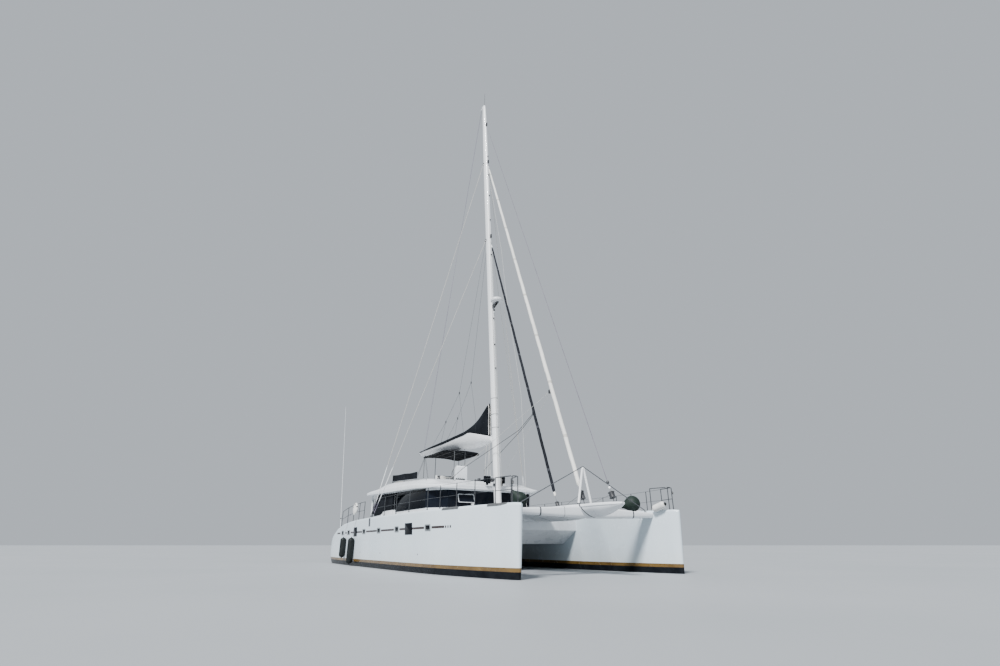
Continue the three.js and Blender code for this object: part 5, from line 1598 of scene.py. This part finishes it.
def cushion_shape():
    bm = bmesh.new()
    half = CUSHION / 2 - Vector((0.012, 0.012, 0.014))
    block(bm, -half, half, 0.035, steps=3)
    bmesh.ops.recalc_face_normals(bm, faces=bm.faces)
    pad = object_of("pad", bm)
    grid = pad.modifiers.new("grid", "REMESH")
    grid.mode = "VOXEL"
    grid.voxel_size = VOXEL
    mesh = bpy.data.meshes.new_from_object(evaluated(pad))
    pad.modifiers.clear()
    pad.data = mesh
    still = [v.co.copy() for v in mesh.vertices]
    domed = lambda co: (1 - (co.x / half.x)**2) * (1 - (co.y / half.y)**2)
    moved = [co + Vector((0, 0, 0.5 * SWELL * copysign(1, co.z) * domed(co))) for co in still]
    fill = pad.modifiers.new("fill", "CLOTH")
    fill.settings.use_pressure = True
    fill.settings.uniform_pressure_force = 4
    fill.settings.effector_weights.gravity = 0
    fill.point_cache.frame_start, fill.point_cache.frame_end = 1, FRAMES
    for frame_number in range(1, FRAMES + 1):
        bpy.context.scene.frame_set(frame_number)
    blown = evaluated(pad).to_mesh()
    moved = [v.co.copy() for v in blown.vertices]
    bpy.context.scene.frame_set(1)
    most = max((b - a).length for a, b in zip(still, moved))
    share = min(1, SWELL / max(most, 1e-6))
    for vert, a, b in zip(mesh.vertices, still, moved):
        vert.co = a + (b - a) * share
        vert.co.z = max(vert.co.z, -CUSHION.z / 2)
    pad.modifiers.clear()
    bpy.data.objects.remove(pad)
    return mesh


pad_mesh = cushion_shape()


def cushion(name, low, high, material, lean=0.0):
    low, high = Vector(low), Vector(high)
    size = high - low
    bm = bmesh.new()
    bm.from_mesh(pad_mesh)
    upright = size.y < size.z or size.x < size.z
    order = Matrix.Identity(4)
    if upright and size.x < size.y:
        order = Matrix(((0, 0, 1, 0), (1, 0, 0, 0), (0, 1, 0, 0), (0, 0, 0, 1)))
    elif upright:
        order = Matrix(((1, 0, 0, 0), (0, 0, -1, 0), (0, 1, 0, 0), (0, 0, 0, 1)))
    elif size.x < size.y:
        order = Matrix(((0, -1, 0, 0), (1, 0, 0, 0), (0, 0, 1, 0), (0, 0, 0, 1)))
    whole = Vector([abs(k) for k in order @ CUSHION])
    stretch = Matrix.Diagonal((size.x / whole.x, size.y / whole.y, size.z / whole.z, 1))
    place = Matrix.Translation((low + high) / 2) @ Matrix.Rotation(lean, 4, "Y") @ stretch @ order
    loops = []
    for level in (-0.24, 0.24):
        cutting = bm.copy()
        geom = cutting.verts[:] + cutting.edges[:] + cutting.faces[:]
        cut = bmesh.ops.bisect_plane(
            cutting, geom=geom, plane_co=(0, 0, level * CUSHION.z), plane_no=(0, 0, 1),
        )
        verts = [v for v in cut["geom_cut"] if isinstance(v, bmesh.types.BMVert)]
        verts.sort(key=lambda v: atan2(v.co.y / CUSHION.y, v.co.x / CUSHION.x))
        loops.append((0.0045, [place @ v.co for v in verts]))
        cutting.free()
    bmesh.ops.transform(bm, matrix=place, verts=bm.verts)
    made = piece(name, bm, material, sharp=180)
    smooth = made.modifiers.new("smooth", "SUBSURF")
    smooth.levels = smooth.render_levels = 1
    rods(name + "_piping", loops, material, sides=0, closed=True)


# Flybridge seats: a moulded bench round the aft corner of the well, and a two-place helm seat.
# Both are white glass fibre with loose cushions.
fly_z = fly_floor + 0.0005
bm = bmesh.new()
x, y = fly_x0 + 0.0005, fly_y0 + 0.0005
block(bm, (x, y, fly_z), (x + 0.60, 1.18, fly_z + 0.29), 0.03)
block(bm, (x + 0.58, y, fly_z), (-3.72, y + 0.60, fly_z + 0.29), 0.03)
block(bm, (x, y, fly_z), (x + 0.09, 1.19, fly_z + 0.585), 0.03)
piece("fly_bench", bm, white_gelcoat, instead="fly_settee", sharp=40)
for k, (y0, y1) in enumerate(((-2.13, -1.04), (-1.03, 0.07), (0.08, 1.17)), 1):
    cushion(f"fly_seat_{k}", (x + 0.10, y0, fly_z + 0.285), (x + 0.62, y1, fly_z + 0.40), cushion_cloth)
    cushion(
        f"fly_back_{k}", (x + 0.085, y0 + 0.01, fly_z + 0.38), (x + 0.175, y1 - 0.01, fly_z + 0.61),
        cushion_cloth,
    )
cushion("fly_seat_4", (x + 0.64, y + 0.01, fly_z + 0.285), (-3.71, y + 0.61, fly_z + 0.40), cushion_cloth)
SEAT_Y, SEAT_HALF = -0.16, 0.615
bm = bmesh.new()
profile = filleted([
    (-3.02, fly_z), (-2.47, fly_z), (-2.41, 3.98), (-2.43, 4.0), (-2.90, 3.99), (-2.975, 4.375),
    (-3.065, 4.375),
], 0.04)
loft([[Vector((p.x, SEAT_Y + y, p.y)) for p in profile] for y in (-SEAT_HALF, SEAT_HALF)], bm)
piece("helm_seat_shell", bm, white_gelcoat, instead="helm_seat", bevel=0.02, sharp=50)
for k, y in enumerate((SEAT_Y - 0.31, SEAT_Y + 0.31), 1):
    y0, y1 = y - 0.295, y + 0.295
    cushion(f"helm_cushion_{k}", (-2.91, y0, 3.985), (-2.41, y1, 4.079), pale_leathercloth)
    cushion(f"helm_back_{k}", (-2.955, y0, 4.06), (-2.88, y1, 4.36), pale_leathercloth, lean=-0.19)


# Helm: a white console with two blank dark displays, a compass and levers, and a leather-covered wheel.
# The wheel has five steel spokes on a hub, and turns on its own body.
softened("helm_console", white_gelcoat, bevel=0.022)
WHEEL = Vector((-1.61, -0.16, 4.33))
slope = Vector((-1.18, 0, 4.69)) - Vector((-1.50, 0, 4.55))
tilt = Matrix.Rotation(-atan2(slope.z, slope.x), 4, "Y")
at = Vector((-1.345, WHEEL.y, 4.6175))
frames, screens = bmesh.new(), bmesh.new()
for y in (-0.135, 0.135):
    middle = at + Vector((0, y, 0))
    block(frames, middle - Vector((0.095, 0.120, 0.004)), middle + Vector((0.095, 0.120, 0.009)), 0.005, tilt)
    block(
        screens, middle - Vector((0.080, 0.105, 0.004)), middle + Vector((0.080, 0.105, 0.0105)), 0.002, tilt,
    )
compass = (-1.235, WHEEL.y, 4.655)
turned(frames, ((0, 0), (0.06, 0), (0.06, 0.02), (0.05, 0.03), (0, 0.03)), compass, (-0.3, 0, 1))
turned(screens, ((0.045, 0.025), (0.04, 0.05), (0.022, 0.066), (0, 0.07)), compass, (-0.3, 0, 1))
for y in (-0.215, -0.235):
    block(frames, (-1.50, WHEEL.y + y - 0.008, 4.50), (-1.46, WHEEL.y + y + 0.008, 4.60), 0.006)
piece("console_fittings", frames, black_metal, sharp=40)
piece("console_displays", screens, tinted, sharp=40)
leather = finish(
    "black_leather", (0.014, 0.013, 0.013), (0.032, 0.03, 0.03), patch=9, rough=(0.45, 0.6), grain=500,
    depth=0.001,
)
wheel_circle = lambda radius, count: [
    WHEEL + Vector((0, radius * cos(a), radius * sin(a))) for a in around(count)
]
rods(
    "wheel_rim", [(0.0155, wheel_circle(0.33, 48))], leather, "wheel", "helm_wheel", sides=3,
    closed=True,
)
rods(
    "wheel_stitching", [(0.0018, wheel_circle(0.3145, 96))], pale_rope, "wheel", sides=0,
    closed=True,
)
spokes = []
for turn in range(5):
    a = turn * 2 * pi / 5
    out = Vector((0, sin(a), cos(a)))
    reach = [Vector((-0.012, 0, 0)), out * 0.16 + Vector((-0.009, 0, 0)), out * 0.322]
    spokes.append(((0.009, 0.007, 0.006), [WHEEL + p for p in reach]))
rods("wheel_spokes", spokes, steel, "wheel", sides=2)
bm = bmesh.new()
turned(
    bm, ((0, -0.0245), (0.03, -0.0245), (0.044, -0.014), (0.045, 0.0), (0.045, 0.0285), (0, 0.0285)), WHEEL,
    (1, 0, 0), 28,
)
piece("wheel_hub", bm, steel, "wheel", sharp=40)


# Flybridge dodgers: black cloth along both edges of the well on three posts, laced at the foot.
# The cloth has a hem top and bottom, and pulls in a little between the posts.
DODGER_Y = 2.38
POSTS = ((-5.15, 4.48), (-3.40, 4.40), (-1.62, 4.30))
for side_name, side in SIDES:
    foot = lambda x: roof_z(x, DODGER_Y) + 0.04
    head = lambda x: 4.49 + (x + 5.18) * (4.30 - 4.49) / 3.59
    runs = [(0.013, [(x, side * DODGER_Y, roof_section(x)[5].z), (x, side * DODGER_Y, z)]) for x, z in POSTS]
    lacing = []
    for x in np.arange(-5.05, -1.65, 0.12):
        lacing += [(x, side * DODGER_Y, foot(x) + 0.02), (x + 0.06, side * DODGER_Y, foot(x) - 0.06)]
    rods(f"dodger_posts_{side_name}", runs, steel, sides=2)
    rods(f"dodger_lacing_{side_name}", [(0.003, lacing)], pale_rope, sides=0)
    rows = []
    for x in np.linspace(-5.175, -1.595, 73):
        near = min(abs(x - px) for px, _ in POSTS)
        slack = min(near / 0.8, 1)
        low, high = foot(x) + 0.02 * slack, head(x) - 0.025 * slack
        row = []
        for t in np.linspace(0, 1, 11):
            y = DODGER_Y + 0.013 - 0.012 * slack * sin(pi * t) + 0.003 * sin(14 * x + 5 * t)
            row.append(Vector((x, side * y, low + t * (high - low))))
        rows.append(row)
    cloth = piece(
        f"dodger_cloth_{side_name}", loft(rows, closed=False), black_canvas,
        instead=f"fly_dodger_{side_name}", sharp=80, thick=0.003,
    )
    hems = [(0.007, [row[k] for row in rows]) for k in (0, -1)]
    rods(f"dodger_hems_{side_name}", hems, dark_webbing, sides=1)


# Cockpit and saloon furniture: white moulded benches with cushions, and two wooden tables.
# The tables are varnished hardwood on a post, with a raised edge.
def wood_finish():
    made, tree, shader, place = blank("varnished_wood")
    grain = noise(tree, place, 7, 8, (0.25, 4, 4))
    wave = {"Vector": place, "Scale": 9.0, "Distortion": 5.0, "Detail": 3.0}
    rings = add(tree, "TexWave", wave, bands_direction="Y").outputs["Fac"]
    both = reckoned(tree, "ADD", reckoned(tree, "MULTIPLY", rings, 0.35), grain)
    wire(tree, shader, {
        "Base Color": two_tone(tree, both, (0.13, 0.055, 0.022), (0.27, 0.13, 0.055), 0.4, 0.9),
        "Roughness": ranged(tree, grain, 0.22, 0.36),
        "Coat Weight": 0.4,
    })
    bump(tree, shader, both, 0.0006)
    return made


varnished = wood_finish()
sole = 1.4503
bm = bmesh.new()
block(bm, (-7.399, 1.45, sole), (-4.21, 2.149, sole + 0.33), 0.025)
block(bm, (-7.399, -1.149, sole), (-6.70, 1.46, sole + 0.33), 0.025)
piece("cockpit_bench", bm, white_gelcoat, instead="cockpit_settee", sharp=40)
for k, (x0, x1) in enumerate(((-6.70, -5.88), (-5.87, -5.05), (-5.04, -4.22)), 1):
    cushion(f"cockpit_seat_{k}", (x0, 1.46, sole + 0.325), (x1, 2.05, sole + 0.44), cushion_cloth)
    cushion(f"cockpit_back_{k}", (x0, 2.05, sole + 0.38), (x1, 2.143, sole + 0.72), cushion_cloth)
for k, (y0, y1) in enumerate(((-1.13, -0.04), (-0.03, 1.06), (1.07, 2.13)), 4):
    cushion(f"cockpit_seat_{k}", (-7.29, y0, sole + 0.325), (-6.71, y1, sole + 0.44), cushion_cloth)
    cushion(f"cockpit_back_{k}", (-7.393, y0, sole + 0.38), (-7.30, y1, sole + 0.72), cushion_cloth)
bm = bmesh.new()
block(bm, (-2.399, 1.50, sole), (0.699, 2.239, sole + 0.32), 0.02)
block(bm, (-2.399, 2.19, sole), (0.699, 2.239, sole + 0.84), 0.02)
piece("saloon_bench", bm, white_gelcoat, instead="saloon_settee", sharp=40)
for k, (x0, x1) in enumerate(((-2.39, -1.37), (-1.36, -0.34), (-0.33, 0.69)), 1):
    cushion(f"saloon_seat_{k}", (x0, 1.51, sole + 0.315), (x1, 2.09, sole + 0.43), cushion_cloth)
    cushion(f"saloon_back_{k}", (x0, 2.10, sole + 0.41), (x1, 2.19, sole + 0.83), cushion_cloth)


def table(name, low, high, post, instead=None):
    (x0, y0), (x1, y1) = low, high
    outline = [(x0, y0), (x1, y0), (x1, y1), (x0, y1)]
    middle = Vector(((x0 + x1) / 2, (y0 + y1) / 2, 0))

    def ring(inset, height):
        inner = [(x + copysign(inset, middle.x - x), y + copysign(inset, middle.y - y)) for x, y in outline]
        return [Vector((p.x, p.y, sole + height)) for p in filleted(inner, 0.08)]

    bm = bmesh.new()
    loft(
        [ring(i, h) for i, h in (
            (0.02, 0.682), (0.0, 0.692), (0.0, 0.716), (0.006, 0.7195), (0.022, 0.7195), (0.03, 0.712),
        )],
        bm,
    )
    piece(name + "_top", bm, varnished, instead=instead, sharp=50)
    bm = bmesh.new()
    turned(bm, (
        (0, 0.001), (0.17, 0.001), (0.17, 0.012), (0.06, 0.03), (0.05, 0.06), (0.045, 0.62), (0.11, 0.675),
        (0.11, 0.684), (0, 0.684),
    ), (*post, sole), steps=28)
    piece(name + "_post", bm, steel, sharp=40)


table("cockpit_table", (-6.2, 0.25), (-4.6, 1.25), (-5.4, 0.75), "cockpit_table")
table("saloon_table", (-1.5, 0.4), (-0.1, 1.18), (-0.8, 0.78))


# Underwater gear: a fixed keel, a spade rudder, a shaft with its bracket and a propeller under each hull.
# Keels and rudders are faired and painted black, shafts are steel and propellers are polished bronze.
bottom_paint = finish(
    "bottom_paint", (0.004, 0.005, 0.007), (0.012, 0.014, 0.017), patch=3, rough=(0.65, 0.8), grain=30,
    depth=0.002,
)
bronze = finish(
    "bronze", (0.30, 0.17, 0.055), (0.48, 0.29, 0.10), patch=9, rough=(0.22, 0.38), grain=120, depth=0.001,
    Metallic=1.0,
)
# height, nose, tail, half thickness
KEEL = (
    (-1.75, 0.93, -1.77, 0.112), (-1.70, 0.96, -1.80, 0.120), (-1.10, 1.30, -2.00, 0.165),
    (-0.775, 1.415, -2.11, 0.18),
)
RUDDER = (
    (-1.56, -7.91, -8.27, 0.016), (-1.52, -7.885, -8.30, 0.026), (-1.00, -7.84, -8.38, 0.040),
    (-0.50, -7.805, -8.415, 0.0455), (-0.47, -7.83, -8.39, 0.034),
)
# distance from the shaft, half width, half thickness, twist
BLADE = (
    (0.035, 0.040, 0.0095, 0.9), (0.08, 0.068, 0.0090, 0.84), (0.14, 0.093, 0.0078, 0.78),
    (0.19, 0.092, 0.0066, 0.72),
    (0.23, 0.074, 0.0054, 0.66), (0.258, 0.045, 0.0042, 0.60), (0.269, 0.018, 0.003, 0.58),
)
# share of the way from nose to tail, share of the half thickness
THICKNESS = (
    (0.0, 0.0), (0.03, 0.42), (0.10, 0.76), (0.22, 0.98), (0.32, 1.0), (0.50, 0.86), (0.75, 0.46),
    (1.0, 0.05),
)


def foil(table, y, levels):
    alongs = [0.5 * (1 - cos(t)) for t in np.linspace(0, pi, 18)]
    rings = []
    for z in levels:
        _, nose, tail, half = eased(table, z)
        side_line = [(nose + (tail - nose) * s, half * eased(THICKNESS, s)[1]) for s in alongs]
        rings.append(
            [
                Vector((x, y + w, z))
                for x, w in side_line
            ] + [Vector((x, y - w, z)) for x, w in reversed(side_line[1:])]
        )
    return loft(rings)


SHAFT = (Vector((-4.70, HULL_Y, -0.64)), Vector((-6.90, HULL_Y, -0.96)))
for side_name, side in SIDES:
    y = side * HULL_Y
    piece(
        f"keel_fin_{side_name}", foil(KEEL, y, (-1.75, -1.735, *np.linspace(-1.70, -0.775, 9))), bottom_paint,
        instead=f"keel_{side_name}", sharp=50,
    )
    bm = foil(RUDDER, y, (-1.56, -1.54, *np.linspace(-1.52, -0.50, 8), -0.48, -0.47))
    pin(bm, 0.045, -0.60, -0.012, (-8.0, y, 0), steps=24)
    piece(
        f"rudder_blade_{side_name}", bm, bottom_paint, f"rudder_blade_{side_name}",
        f"rudder_{side_name}", sharp=50,
    )
    heading = along_of(SHAFT)
    end = Vector((SHAFT[1].x, y, SHAFT[1].z))
    bm = bmesh.new()
    pin(bm, 0.026, -2.0, -0.002, end, heading, 16)
    turned(
        bm,
        ((0.026, -0.262), (0.045, -0.262), (0.052, -0.24), (0.052, -0.02), (0.045, -0.002), (0.026, -0.002)),
        end, heading, 24,
    )
    strut = [Vector((end.x + 0.13 + 0.065 * cos(a), y + 0.022 * sin(a), 0)) for a in around(18)]
    loft([[p + Vector((0, 0, z)) for p in strut] for z in (-0.945, -0.50)], bm)
    piece(f"shaft_and_bracket_{side_name}", bm, steel, instead=f"shaft_{side_name}", sharp=50)
    bm = bmesh.new()
    turned(bm, (
        (0, 0.0015), (0.056, 0.0015), (0.058, 0.02), (0.054, 0.13), (0.048, 0.16), (0.03, 0.19),
        (0.018, 0.21), (0, 0.211),
    ), end, heading, 24)
    across = Vector((0, 1, 0))
    upward = across.cross(heading).normalized()
    for turn in range(3):
        a = turn * 2 * pi / 3
        out = upward * cos(a) + across * sin(a)
        round_ = out.cross(heading)
        rings = []
        for r, half, thick, pitch in BLADE:
            chord = round_ * cos(pitch) + heading * sin(pitch)
            skin = chord.cross(out)
            middle = end + heading * 0.075 + out * r
            rings.append([middle + chord * half * cos(b) + skin * thick * sin(b) for b in around(14)])
        loft(rings, bm)
    piece(
        f"propeller_blades_{side_name}", bm, bronze, f"screw_{side_name}", f"propeller_{side_name}",
        sharp=50,
    )


# Roof gear: handrails, sheet tracks with cars, winches and clutches, and halyard bags beside the mast.
# Rails and tracks are bolted down, winch drums stand on steel bases, and the bags are sewn canvas on a tube.
runs, bm = [], bmesh.new()
for side in (-1, 1):
    line = [(x, side * 2.60, roof_z(x, 2.60) + 0.075) for x in np.linspace(-5.6, 0.1, 7)]
    runs.append((0.0125, bent(line, 0.3)))
    runs += [(0.010, [(x, y, z), (x, y, z - 0.08)]) for x, y, z in line]
    track = ((-0.02, -0.01), (0.02, -0.01), (0.02, 0.016), (-0.02, 0.016))
    y = 1.35
    loft([
        [Vector((x, side * y + w, roof_z(x, y) + h)) for w, h in track]
        for x in np.linspace(-0.78, 0.55, 9)
    ], bm)
    block(
        bm, (0.05, side * y - 0.03, roof_z(0.1, y) + 0.01), (0.17, side * y + 0.03, roof_z(0.1, y) + 0.075),
        0.015,
    )
rods("roof_handrails", runs, steel, sides=2)
piece("sheet_tracks", bm, grey_alloy, sharp=40)
drums, bases = bmesh.new(), bmesh.new()
for x, y in ((-0.72, -1.02), (-0.72, -1.62), (-0.72, 0.62), (-0.72, 1.22)):
    z = roof_z(x, y)
    turned(bases, ((0, -0.02), (0.11, -0.02), (0.105, 0.012), (0.07, 0.03), (0, 0.03)), (x, y, z), steps=28)
    turned(bases, ((0, 0.165), (0.06, 0.165), (0.062, 0.178), (0.03, 0.186), (0, 0.186)), (x, y, z), steps=28)
    turned(drums, (
        (0, 0.025), (0.088, 0.025), (0.084, 0.045), (0.062, 0.07), (0.060, 0.115), (0.078, 0.15),
        (0.08, 0.166), (0, 0.166),
    ), (x, y, z), steps=28)
for y in (-0.84, -0.74, -0.64, -0.54, -0.44, 0.20, 0.30, 0.40):
    z = roof_z(-0.35, y)
    block(drums, (-0.45, y - 0.018, z - 0.005), (-0.22, y + 0.018, z + 0.05), 0.008)
    block(
        drums, (-0.43, y - 0.012, z + 0.04), (-0.30, y + 0.012, z + 0.085), 0.008,
        Matrix.Rotation(-0.25, 4, "Y"),
    )
for side in (-1, 1):
    at = Vector((mast_x(3.68), side * MAST_WIDE, 3.68))
    x = mast_x(3.46) + 0.02
    y_in, y_out = sorted((side * (MAST_WIDE - 0.02), side * (MAST_WIDE + 0.06)))
    block(drums, (x - 0.06, y_in, 3.40), (x + 0.06, y_out, 3.52), 0.02)
    turned(bases, ((0, -0.01), (0.08, -0.01), (0.075, 0.02), (0.05, 0.03), (0, 0.03)), at, (0, side, 0), 24)
    turned(drums, (
        (0, 0.025), (0.068, 0.025), (0.064, 0.04), (0.048, 0.06), (0.047, 0.10), (0.06, 0.125), (0.06, 0.14),
        (0, 0.14),
    ), at, (0, side, 0), 24)
for y in (-0.36, -0.24, -0.12, 0.0, 0.12, 0.24):
    block(drums, (mast_x(2.3) - 0.33, y - 0.045, 2.165), (mast_x(2.3) - 0.24, y + 0.045, 2.25), 0.012)
piece("winch_drums", drums, black_metal, sharp=40)
piece("winch_bases", bases, steel, sharp=40)
hangers, bags = [], bmesh.new()
for side in (-1, 1):
    hangers.append(
        (0.011, bent([(2.0, side * 0.08, 3.84), (1.90, side * 0.16, 3.84), (1.90, side * 0.56, 3.84)], 0.05))
    )
    for near, deep in ((0.21, 0.34), (0.33, 0.41), (0.45, 0.30)):
        y_in, y_out = sorted((side * near, side * (near + 0.11)))
        block(bags, (1.85, y_in, 3.865 - deep), (1.95, y_out, 3.865), 0.035, steps=3)
        block(bags, (1.845, y_in - 0.003, 3.80), (1.955, y_out + 0.003, 3.82), 0.008)
rods("bag_hangers", hangers, steel, sides=2)
piece("halyard_bags", bags, black_canvas, sharp=50)


# Mast and deck lines: halyards down the mast, furling lines aft, and sheets from the sails to the roof.
# All are taut braided rope led through blocks, and they end at winches, clutches or pad eyes.
white_rope = weave_finish(
    "white_rope", (0.50, 0.49, 0.46), (0.64, 0.63, 0.60), thread=1100, depth=0.0005, sheen=0.1, patch=5,
)
dark_rope = weave_finish(
    "dark_rope", (0.018, 0.019, 0.024), (0.05, 0.052, 0.06), thread=1100, depth=0.0005, sheen=0.1, patch=5,
)
halyards = [
    (0.0055, [
        (mast_front(21.9) + 0.01, 0, 21.9), (2.546, 0, 15.623), (3.182, 0, 11.81), (3.80, 0, 9.3),
        (4.259, 0, 7.172), (4.55, 0, 2.20),
    ])
]
for y, z in ((-0.075, 19.5), (0.075, 16.2), (-0.035, 12.0)):
    halyards.append(
        (0.0055, [
            (mast_front(z) - 0.01, y, z), (mast_front(9) + 0.02, y, 9.0),
            (mast_front(3.3) + 0.02, y * 1.3, 3.3),
        ])
    )
for side in (-1, 1):
    halyards.append(
        (0.006, [
            (6.44, side * 0.03, 6.78), (0.16, side * 1.35, roof_z(0.1, 1.35) + 0.085),
            (-0.66, side * 1.26, roof_z(-0.7, 1.3) + 0.09),
        ])
    )
rods("halyards_and_genoa_sheets", halyards, white_rope, sides=1)
sheets = []
for side in (-1, 1):
    sheets.append(
        (0.012, [
            (5.22, side * 0.03, 6.14), (4.12, side * 0.05, 5.60),
            (-0.16, side * 0.60, roof_z(-0.2, 0.6) + 0.55), (-0.66, side * 0.92, roof_z(-0.7, 0.9) + 0.10),
        ])
    )
for line, low in ((GENOA, 0.33), (GENNAKER, 0.2)):
    x, _, z = line[0] + along_of(line) * (low + 0.08)
    sheets.append((0.005, [(x, -0.06, z), (x - 0.5, -0.30, 2.28), (4.7, -0.62, 2.24), (1.9, -0.60, 2.18)]))
rods("staysail_sheets_and_furling_lines", sheets, dark_rope, sides=1)


# Boom lines: two topping lines from the masthead, lazy jacks on both sides, reefing lines and the mainsheet.
# They run between the mast or the roof and the boom, with small black blocks where they divide.
rods_aloft = rods("topping_lines", [
    (0.008, [(0.0, 0.02, 27.74), (-6.90, 0.06, 6.17)]), (0.007, [(0.0, -0.02, 27.74), (-6.25, -0.14, 6.17)]),
], purple_rope, None, sides=1)
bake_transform(rods_aloft)
reefs = [((1.11, -0.10), (1.22, -0.05)), ((1.36, -0.10), (1.42, 0.0)), ((1.36, 0.12), (1.26, 0.06))]
reefs = [
    (0.009, [(*low, roof_z(*low) - 0.005), (*high, eased(BOOM_TABLE, high[0])[3] + 0.015)])
    for low, high in reefs
]
reefing = rods("reefing_lines", reefs, white_rope, None, sides=1)
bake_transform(reefing)


def boom_lip(x, side):
    _, half, top, _ = eased(BOOM_TABLE, x)
    return x, side * (half - 0.012), top + 0.002


for side_name, side in SIDES:
    high = (mast_x(17.2) - 0.19, side * 0.05, 17.2)
    first = (-1.36, side * 0.33, 8.57) if side < 0 else (-1.28, side * 0.33, 9.24)
    second = (-2.87, side * 0.37, 7.27) if side < 0 else (-2.91, side * 0.37, 7.57)
    legs = (-4.75, -3.40, -0.55)
    lines = [(0.006, [high, first]), (0.006, [first, second]), (0.006, [first, boom_lip(legs[2], side)])]
    lines += [(0.006, [second, boom_lip(x, side)]) for x in legs[:2]]
    jacks = rods(f"lazy_jacks_{side_name}", lines, dark_rope, None, sides=1)
    bm = bmesh.new()
    for x, y, z in (first, second):
        block(bm, (x - 0.04, y - 0.022, z - 0.07), (x + 0.04, y + 0.022, z + 0.07), 0.02)
    blocks = piece(f"lazy_jack_blocks_{side_name}", bm, black_metal, None, sharp=40)
    for made in (jacks, blocks):
        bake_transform(made)
        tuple(high)
sheet_foot, sheet_head = (-6.85, 0, roof_z(-6.85, 0) + 0.07), (-6.45, 0, 5.94)
falls = [
    (0.007, [(sheet_foot[0], side * 0.55 + y, sheet_foot[2]), (sheet_head[0], y, sheet_head[2] - 0.06)])
    for side in (-1, 1)
    for y in (-0.02, 0.02)
]
mainsheet = rods("mainsheet", falls, dark_rope, None, sides=1)
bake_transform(mainsheet)
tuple(sheet_foot)
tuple(sheet_head)
bm = bmesh.new()
for side in (-1, 1):
    x, _, z = sheet_foot
    block(bm, (x - 0.035, side * 0.55 - 0.035, z - 0.085), (x + 0.035, side * 0.55 + 0.035, z + 0.03), 0.015)
piece("mainsheet_deck_blocks", bm, black_metal, sharp=40)
bm = bmesh.new()
x, _, z = sheet_head
block(bm, (x - 0.04, -0.04, z - 0.10), (x + 0.04, 0.04, z + 0.01), 0.015)
for x in (-1.2, -3.4):
    low = eased(BOOM_TABLE, x)[3]
    block(bm, (x - 0.03, -0.012, low - 0.045), (x + 0.03, 0.012, low + 0.02), 0.01)
loft([
    [Vector((-7.0 + step, p.y * 1.02, 6.09 + (p.z - 6.09) * 1.03)) for p in boom_section(-7.0)]
    for step in (0.02, -0.063)
], bm)
piece("boom_fittings", bm, black_metal, "boom", sharp=40)


# Cover details: a pale luff strip with black lacing and blocks beside the mast, and taped edges.
# The strip is webbing sewn to the cover, the lacing holds its front, and flaps hang over the boom's lips.
strip, lacing = bmesh.new(), []
levels = np.linspace(5.86, 7.36, 26)
front = [(1.43 - 0.16 * max(0, (z - 7.1)) - 0.02 * sin(6 * z), z) for z in levels]
for y in (-0.055, 0.045):
    loft([
        [Vector((x - w, y + d, z)) for w, d in ((0.0, 0), (0.05, 0), (0.05, 0.01), (0.0, 0.01))]
        for x, z in front
    ], strip)
piece("cover_luff_strip", strip, genoa_cloth, "boom", sharp=50)
for k, (x, z) in enumerate(front):
    lacing.append((x + 0.012 + 0.035 * (k % 2), 0.05 * (-1) ** (k // 2), z))
rods("cover_lacing", [(0.009, lacing)], dark_rope, "boom", sides=1)
flap_bm = bmesh.new()
for side in (-1, 1):
    rings = []
    for x in np.linspace(-6.86, -0.15, 40):
        _, lip_y, lip_z, _ = eased(BOOM_TABLE, x)
        deep = 0.055 * min(1, (x + 6.9) / 0.2, (0 - x) / 0.6)
        rings.append(
            [
                Vector((x, side * (lip_y + w), lip_z + h))
                for w, h in ((0.002, -deep), (0.007, -deep), (0.007, 0.006), (0.002, 0.006))
            ]
        )
    loft(rings, flap_bm)
piece("cover_flaps", flap_bm, black_canvas, "boom", sharp=50)
edges = []
for k in (0, -1):
    edges.append((0.007, [cover_line(x)[k] for x in np.linspace(-6.8, 1.4, 60)]))
for x in (-5.2, -3.6, -2.0, -0.6, 0.5):
    edges.append((0.004, [p + Vector((0, 0, 0.001)) for p in cover_line(x)]))
rods("cover_tapes", edges, dark_webbing, "boom", sides=0)


# Running lights: a small lamp on each pulpit, in black plastic cases.
# Lenses are clear plastic without marks.
bm, lens = bmesh.new(), bmesh.new()
for side in (-1, 1):
    at = rail_point(side, PULPIT[1], 0.60)
    block(bm, at + Vector((0.0, -0.03, -0.05)), at + Vector((0.05, 0.03, 0.05)), 0.012)
    pin(lens, 0.026, -0.032, 0.032, at + Vector((0.05, 0, 0)), steps=20)
piece("lamp_cases", bm, black_metal, sharp=40)
clear = glass_finish("lamp_lens", (0.5, 0.5, 0.5), 0.8, 0.12)
piece("lamp_lenses", lens, clear, sharp=40)
